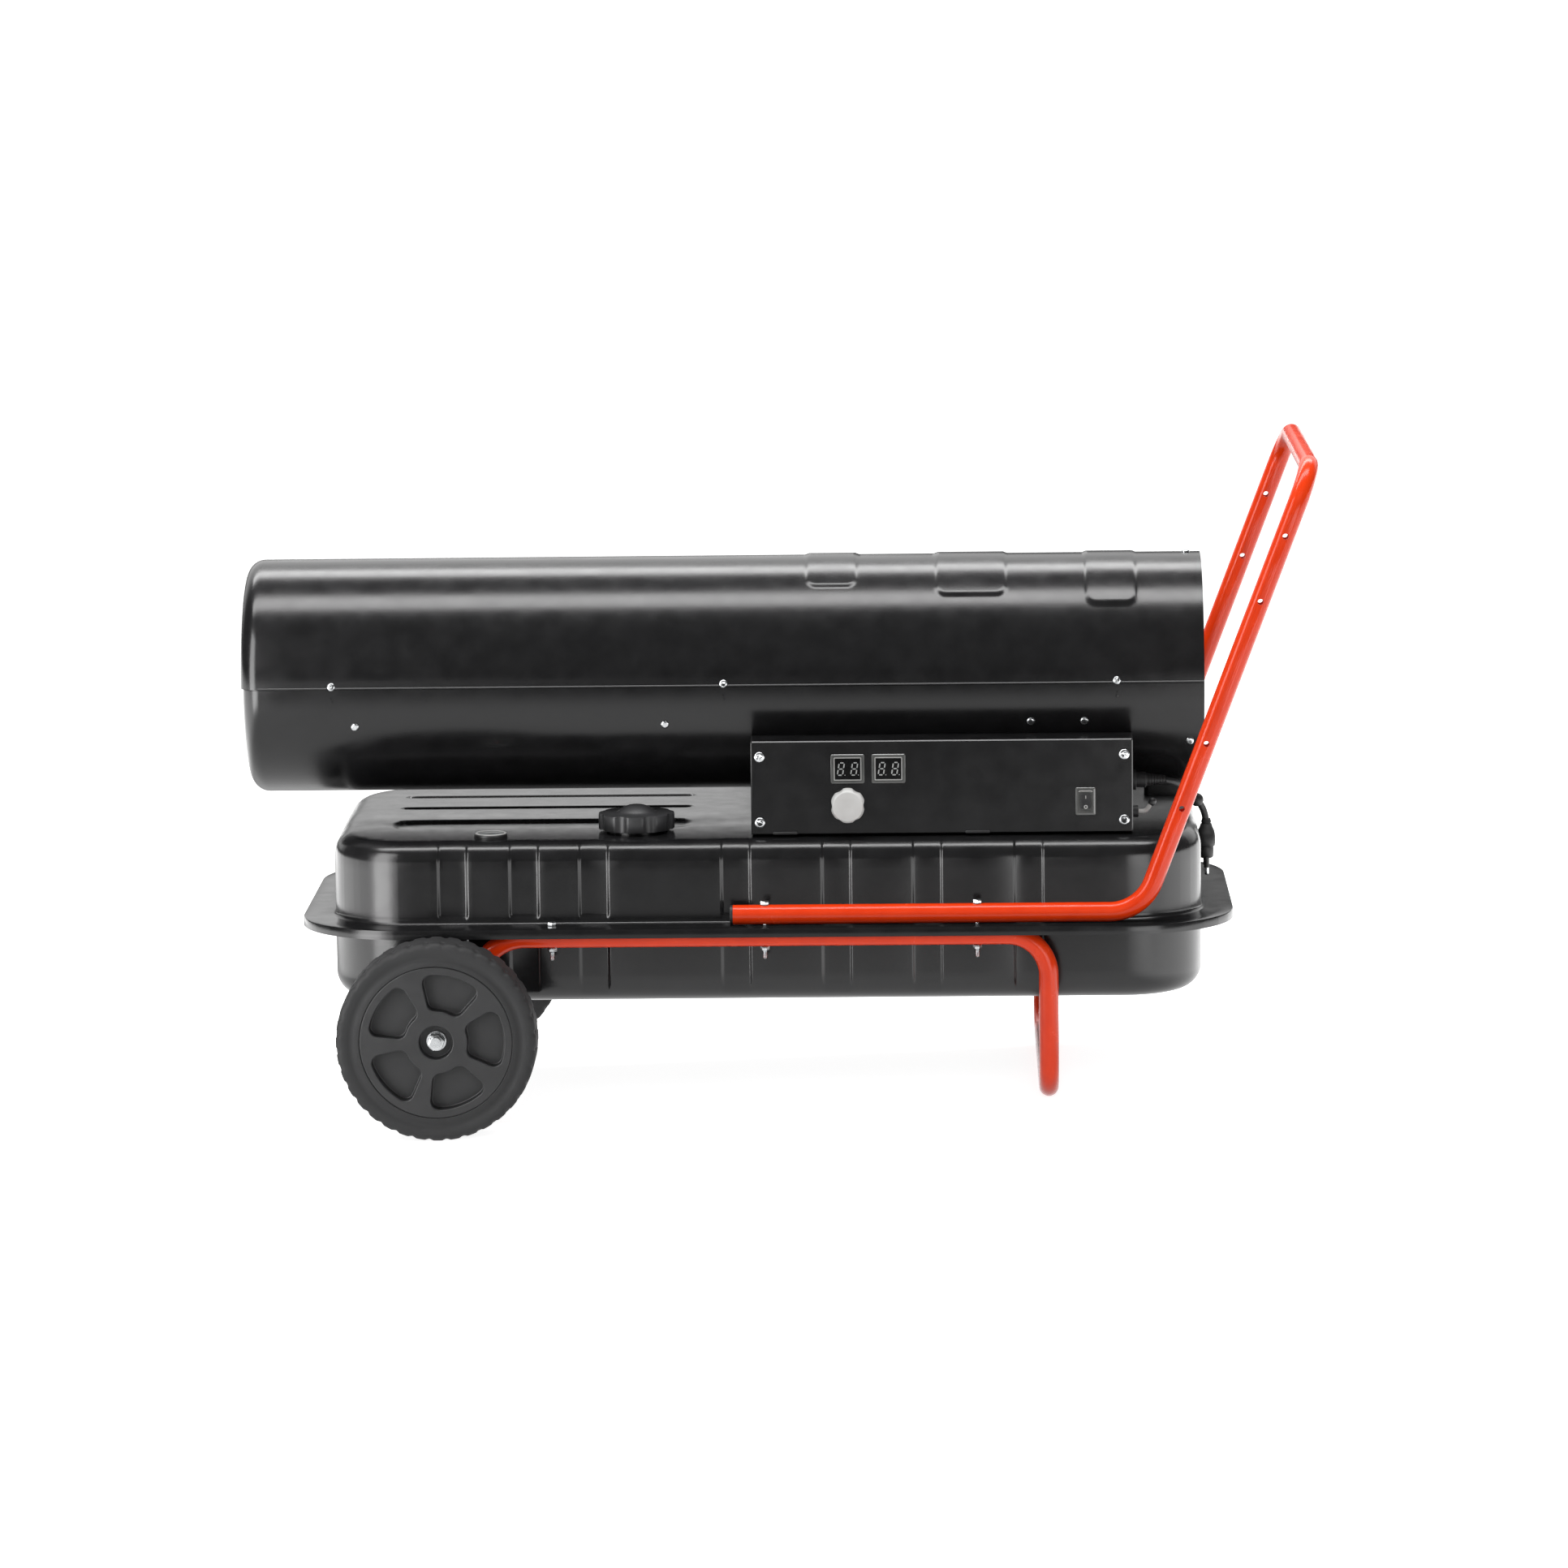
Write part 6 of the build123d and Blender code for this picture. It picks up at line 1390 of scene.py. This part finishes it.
def ridged_frame(middle, size, corner, steps):
    """Rounded frame on the panel, as steps of distance inwards from its edge and height above the panel."""
    rings = [(inset(size, by), max(corner - by, 0.4), rise) for by, rise in reversed(steps)]
    inner, inner_corner, level = rings[0]
    bm = rounded_plate(inner, inner_corner, 3, (0, 0, level))
    grow_rings(bm, core_of(inner, inner_corner), rings[1:], 0.0)
    bmesh.ops.recalc_face_normals(bm, faces=bm.faces[:])
    bmesh.ops.transform(bm, matrix=on_panel(middle), verts=bm.verts[:])
    mesh = bpy.data.meshes.new("frame")
    bm.to_mesh(mesh)
    bm.free()
    return mesh


def raised_line(bm, middle, size, corner, wide):
    """Thin raised line round a rounded rectangle on the panel."""
    steps = ((0, 0), (0.1, 0.3), (wide / 2, 0.42), (wide - 0.1, 0.3), (wide, 0))
    line = ridged_frame(middle, size, corner, steps)
    start = len(bm.faces)
    bm.from_mesh(line)
    bm.faces.ensure_lookup_table()
    plate = max(bm.faces[start:], key=lambda face: face.calc_area())
    bmesh.ops.delete(bm, geom=[plate], context="FACES_ONLY")


FRAME_STEPS = (
    (0, 0), (0, 1.0), (0.5, 1.5), (1.1, 1.6), (2.2, 1.5),
    (2.7, 1.05), (3.05, 1.05), (3.45, 1.6), (3.9, 1.6), (4.25, 0.9),
)


def add_display_frames():
    """Smoky frames round the displays, with a raised inner ridge and a light grey line on it as its painted
    highlight.
    """
    bm = bmesh.new()
    for x in DISPLAY_X:
        stamp(bm, ridged_frame((x, PANEL_Y, DISPLAY_Z), (34.4, 30.0), 1.8, FRAME_STEPS), Matrix.Identity(4))
    add_piece("display_frames", bm, BEZEL, stands_for=["display_modules"], sharp=24)
    # Light grey lines on the frames' inner ridges: a painted highlight.
    bm = bmesh.new()
    for x in DISPLAY_X:
        raised_line(bm, (x, PANEL_Y - 1.5, DISPLAY_Z), (28.3, 23.9), 1.0, 1.0)
    add_piece("display_rims_painted_highlight", bm, GREY_AND_PAINTED_HIGHLIGHT, sharp=50)


def add_windows():
    """Smoked windows sunk in the display frames."""
    bm = bmesh.new()
    for x in DISPLAY_X:
        add_block(bm, (x, PANEL_Y - 0.95, DISPLAY_Z), (25.6, 0.25, 21.2))
    round_edges(bm, bm.edges[:], 0.08, 1)
    add_piece("display_windows", bm, WINDOW)


KNOB_AT = Vector((416.6, PANEL_Y, TANK_TOP + 30.4))
KNOB_R = 17.5
KNOB_FRONT = 15.9
KNOB_LOBES = (12.0, 1.5, KNOB_R)
KNOB_HOLE_R = 4.6


def add_knob():
    """Lobed thermostat knob on its shaft."""
    bm = bmesh.new()
    profile = [(-12.0, 0), (-12.0, 3.0), (0.3, 3.0), (0.3, 16.8), (0.9, KNOB_R), (11.8, KNOB_R - 0.3)]
    profile += [(12.8, KNOB_R - 0.6), (13.4, KNOB_R - 1.1), (15.3, KNOB_R - 2.0), (15.75, KNOB_R - 2.5)]
    profile += [(KNOB_FRONT, KNOB_R - 3.3), (KNOB_FRONT, 8.0), (KNOB_FRONT, 4.0), (KNOB_FRONT, 0)]
    lathe(bm, profile, KNOB_AT, (0, -1, 0), 180)
    scalloped(bm, KNOB_AT, Vector((0, -1, 0)), KNOB_LOBES, 6, math.radians(15))
    add_piece("thermostat_dial", bm, KNOB, body="knob", stands_for=["thermostat_knob"], sharp=50)


SWITCH_AT = Vector((658.7, PANEL_Y, TANK_TOP + 32.0))
SWITCH_STEPS = (
    (0, 0), (0, 1.2), (0.5, 1.8), (1.0, 2.0), (2.6, 2.0),
    (2.9, 1.5), (3.4, 1.5), (3.7, 2.0), (4.3, 2.0), (4.6, 1.0),
)


def on_rocker(height):
    """Level place and outward direction on the rocker's face, at a height from its middle."""
    mesh = bmesh.new()
    mesh.from_mesh(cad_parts["switch_rocker"].data)
    level = STAND.inverted()
    bmesh.ops.transform(mesh, matrix=level, verts=mesh.verts[:])
    tree = BVHTree.FromBMesh(mesh)
    place, normal, _, _ = tree.ray_cast(SWITCH_AT + Vector((0.1, -30, height)), Vector((0, 1, 0)))
    mesh.free()
    return place, normal if normal.y < 0 else -normal


def add_switch():
    """Power switch: ridged frame, dark well, rocker and its two marks, with a light grey arch on the frame's top and
    sides as a painted highlight.
    """
    bm = bmesh.new()
    stamp(bm, ridged_frame(SWITCH_AT, (20.5, 28.6), 1.6, SWITCH_STEPS), Matrix.Identity(4))
    add_piece("switch_surround", bm, BEZEL, stands_for=["switch_frame"], sharp=24)
    # Light grey arch on the frame's top and sides, left off at the bottom: a painted highlight.
    bm = bmesh.new()
    raised_line(bm, (SWITCH_AT.x, PANEL_Y - 1.9, SWITCH_AT.z), (14.6, 22.6), 1.4, 1.2)
    low = [corner for corner in bm.verts if corner.co.z < SWITCH_AT.z - 8.5]
    bmesh.ops.delete(bm, geom=low, context="VERTS")
    add_piece("switch_arch_painted_highlight", bm, GREY_AND_PAINTED_HIGHLIGHT, sharp=50)
    softened("switch_key", "switch_rocker", BLACK, 0.6, body="rocker", segments=3)
    bm = bmesh.new()
    place, out = on_rocker(4.6)
    add_block(bm, facing(place, out), (0.9, 3.2, 0.3))
    place, out = on_rocker(-5.2)
    lathe(bm, [(-0.1, 1.0), (-0.1, 2.0), (0.2, 2.0), (0.2, 1.0), (-0.1, 1.0)], place, out, 24)
    add_piece("switch_marks", bm, GREY_AND_PAINTED_HIGHLIGHT, body="rocker")


COVER_Z = TANK_TOP + 48.0
COVER_HEIGHT = 96.0
COVER_STEPS = ((0, 0), (0, 0.1), (0.05, 0.16), (1.05, 1.32), (1.3, 1.4))


def add_near_cover():
    """Control panel with its soft pressed edge and openings."""
    middle = ((BOX_X[0] + BOX_X[1]) / 2, PANEL_Y + 1.4, COVER_Z)
    bm = bmesh.new()
    bm.from_mesh(ridged_frame(middle, (BOX_X[1] - BOX_X[0], COVER_HEIGHT), 2.2, COVER_STEPS))
    fill_openings(bm)
    depth = Vector((0, 4, 0))
    holes = rods([(KNOB_AT - depth, KNOB_AT + depth)], KNOB_HOLE_R, 32)
    for x in DISPLAY_X:
        add_block(holes, (x, PANEL_Y, DISPLAY_Z), (30.8, 8.0, 26.4))
    add_block(holes, SWITCH_AT, (16.7, 8.0, 24.8))
    cover = add_piece("near_cover", bm, ENAMEL, stands_for=["control_panel"], holes=holes, sharp=20)
    even_shading(cover)


def add_base_box():
    """Folded box, covers, displays and the electrical pieces within."""
    softened("box_body", "base_box", ENAMEL, 0.35)
    add_near_cover()
    softened("far_cover", "back_panel", ENAMEL, 0.45)
    keep_node("circuit_board", BOARD)
    keep_node("thermostat_pot", BLACK)
    softened("transformer_block", "ignition_transformer", BLACK, 2.0)
    softened("capacitor_can", "motor_capacitor", GREY_AND_PAINTED_HIGHLIGHT, 1.2)
    add_display_frames()
    add_box_feet()
    add_windows()
    add_digits()
    add_knob()
    add_switch()


# Mains lead, sensor and grommets

CORD_POINTS = (
    (722.0, -95.0, 337.0),
    (742.0, -95.0, 337.0),
    (757.5, -84.0, 331.0),
    (763.5, -60.0, 317.0),
    (760.0, -36.5, 308.0),
    (773.0, -13.5, 307.5),
    (782.0, -3.0, 297.5),
    (787.5, 0.0, 283.0),
    (787.5, 0.0, 271.5),
)
CORD_R = 3.5


def add_cord():
    """Short mains lead from its gland down to the plug, with the tapered relief at the gland."""
    data = bpy.data.curves.new("mains_lead", "CURVE")
    data.dimensions = "3D"
    data.bevel_depth = CORD_R * MM
    data.bevel_resolution = 6
    data.resolution_u = 16
    data.use_fill_caps = True
    spline = data.splines.new("NURBS")
    spline.points.add(len(CORD_POINTS) - 1)
    for point, place in zip(spline.points, CORD_POINTS):
        point.co = (*(STAND @ Vector(place)), 1.0)
    spline.order_u = 3
    spline.use_endpoint_u = True
    lead = bpy.data.objects.new("mains_lead", data)
    bpy.context.scene.collection.objects.link(lead)
    data.materials.append(RUBBER)
    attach(lead, "chassis")
    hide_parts("power_cord")
    plug, pins = add_plug()
    relief = add_relief()
    bead = add_bead()


# Height, thickness and corner of each ring down the plug
PLUG_RINGS = (
    (281.6, 9.2, 4.5),
    (280.4, 9.0, 4.4),
    (280.0, 9.8, 4.8),
    (277.8, 10.6, 5.2),
    (277.6, 9.4, 4.6),
    (276.4, 9.4, 4.6),
    (276.2, 11.2, 5.5),
    (272.5, 13.4, 6.4),
    (268.5, 17.0, 7.6),
    (264.0, 18.5, 8.4),
    (257.0, 18.5, 8.6),
    (254.0, 17.2, 8.0),
    (253.0, 14.8, 7.2),
    (250.0, 15.2, 7.4),
    (243.0, 14.6, 7.2),
    (241.2, 12.6, 6.2),
)
PLUG_NECK_Z = 278.0
PLUG_SPREAD = 14.0
PLUG_WIDENING = 0.75
PIN_SHIFTS = (-9.5, 9.5)
PIN = ((-2.0, 0.0), (-2.0, 2.4), (15.5, 2.4), (17.0, 1.9), (17.8, 1.0), (18.0, 0.0))
PIN_SLEEVE = ((-1.0, 2.2), (-1.0, 2.8), (9.6, 2.8), (10.0, 2.5), (10.0, 2.2), (-1.0, 2.2))


def plug_rings():
    """Rings of the plug's body as size, corner and height, square at its sleeve and wider across below."""
    rings = []
    for z, deep, corner in PLUG_RINGS:
        spread = min(max((PLUG_NECK_Z - z) / PLUG_SPREAD, 0), 1)
        rings.append(((deep, deep * (1 + PLUG_WIDENING * spread)), corner * 0.98, z))
    return rings


def add_plug():
    """Rounded mains plug with a ribbed sleeve at its top, and its two pins."""
    x, y, _ = CORD_POINTS[-1]
    rings = plug_rings()
    size, corner, z = rings[0]
    bm = rounded_plate(size, corner, 8, (0, 0, z))
    face = grow_rings(bm, core_of(size, corner), rings[1:], 0.0)
    bmesh.ops.edgeloop_fill(bm, edges=face)
    bmesh.ops.translate(bm, vec=(x, y, 0), verts=bm.verts[:])
    pins = bmesh.new()
    for shift in PIN_SHIFTS:
        place = (x, y + shift, PLUG_RINGS[-1][0])
        lathe(bm, PIN_SLEEVE, place, (0, 0, -1), 24)
        lathe(pins, PIN, place, (0, 0, -1), 24)
    plug = add_piece("mains_plug_body", bm, RUBBER, stands_for=["power_plug"], sharp=50)
    return plug, add_piece("mains_plug_pins", pins, ZINC, sharp=50)


def add_bead():
    """Round rubber bead on the lead where it goes over the tank's rear edge."""
    bm = bmesh.new()
    start, end = Vector(CORD_POINTS[5]), Vector(CORD_POINTS[6])
    profile = [(-6.1, CORD_R - 0.2)] + arc((0, 0), 7.0, 150, 30, 14) + [(6.1, CORD_R - 0.2)]
    lathe(bm, profile + profile[:1], start.lerp(end, 0.5), end - start, 40)
    return add_piece("lead_bead", bm, RUBBER, sharp=50)


def add_relief():
    """Tapered and ribbed sleeve round the lead where it leaves the gland."""
    bm = bmesh.new()
    profile = [(-14.6, CORD_R), (-14.6, 7.6), (-1.0, 7.6), (0.0, 7.0)]
    for step in range(7):
        along = 0.4 + step * 2.9
        out = 6.6 - 0.33 * step
        profile += [(along, out), (along + 1.9, out - 0.15), (along + 2.1, out - 1.0), (along + 2.7, out - 1.0)]
    profile += [(21.0, 4.0), (21.0, CORD_R)]
    lathe(bm, profile + profile[:1], CORD_POINTS[0], (1, 0, 0), 32)
    return add_piece("lead_relief", bm, RUBBER)


def add_rear_pad():
    """Low rounded rubber pad at the tank's rear, under the barrel's far side."""
    bm = bmesh.new()
    add_block(bm, (748.5, 100.0, TANK_TOP + 2.5), (45.0, 22.0, 21.0))
    round_edges(bm, [line for line in bm.edges if abs(line.verts[0].co.z - line.verts[1].co.z) > 1], 5.0, 8)
    crown = [line for line in bm.edges if min(corner.co.z for corner in line.verts) > TANK_TOP + 12]
    round_edges(bm, crown, 2.6, 5)
    add_piece("rear_pad", bm, RUBBER)


SENSOR_ROUTE = ((706.0, -140.0, 311.0), (720.5, -140.0, 311.0), (726.5, -140.0, 320.0))


def add_sensor():
    """Room sensor: a bent sleeve from its grommet, with a dark bulb at its end."""
    bm = bent_pipe(SENSOR_ROUTE, (6.0,), radius=2.5, sides=24, bend_step=5.6)
    fill_openings(bm)
    add_piece("sensor_sleeve", bm, GREY_AND_PAINTED_HIGHLIGHT, stands_for=["room_sensor"])
    bm = bmesh.new()
    end = Vector(SENSOR_ROUTE[2])
    along = (end - Vector(SENSOR_ROUTE[1])).normalized()
    bulb = [(-4.0, 0.0), (-4.0, 2.7), (-3.4, 3.4), (-1.5, 3.9)] + arc((0.0, 0.0), 4.0, 85, 0, 8)[:-1] + [(4.0, 0.0)]
    lathe(bm, bulb, end + along * 1.5, along, 28)
    add_piece("sensor_bulb", bm, BLACK)


def add_box_feet():
    """Rubber feet that show under the front edge of the box."""
    bm = bmesh.new()
    for x in (352.6, 548.8):
        add_block(bm, (x, PANEL_Y + 0.4, TANK_TOP + 1.6), (25.0, 5.0, 3.0))
    round_edges(bm, bm.edges[:], 0.9, 3)
    add_piece("box_feet", bm, RUBBER)


def add_leads():
    """Mains lead, grommets, hoses and the room sensor."""
    add_cord()
    softened("grommet_set", "cable_grommets", RUBBER, 0.5)
    keep_node("fuel_hose", RUBBER)
    keep_node("air_hose", RUBBER)
    keep_node("fuel_pickup", BRASS)
    add_sensor()
    add_rear_pad()
    softened("drain_screw", "drain_plug", ZINC, 0.6)


# Burner, fan and motor


def add_inner_parts():
    """Pieces within the barrel that show through its two ends."""
    softened("burner_tube", "combustion_chamber", CHAMBER, 0.3)
    softened("tube_brackets", "chamber_brackets", STEEL, 0.3)
    softened("flame_disc", "flame_baffle", CHAMBER, 0.4)
    softened("burner_plate", "burner_head", CHAMBER, 0.4)
    keep_node("fuel_nozzle", BRASS)
    keep_node("spark_electrodes", CERAMIC)
    keep_node("photocell", BLACK)
    softened("motor_case", "motor_housing", CAST, 2.5, segments=3)
    softened("motor_cradle", "motor_bracket", STEEL, 0.4)
    keep_node("motor_shaft", STEEL)
    softened("fan_wheel", "fan", CAST, 0.5, body="rotor")
    softened("pump_case", "pump_body", CAST, 1.0)
    keep_node("pump_rotor", STEEL)
    softened("filter_cover", "air_filter", BLACK, 1.4, segments=3)


add_leads()
add_barrel()
add_seam_lips()
add_guard()
add_tank_top()
add_tank_bottom()
add_handle()
add_foot()
add_wheels()
add_filler()
add_gauge()
add_screws()
add_bolts()
add_base_box()
add_inner_parts()
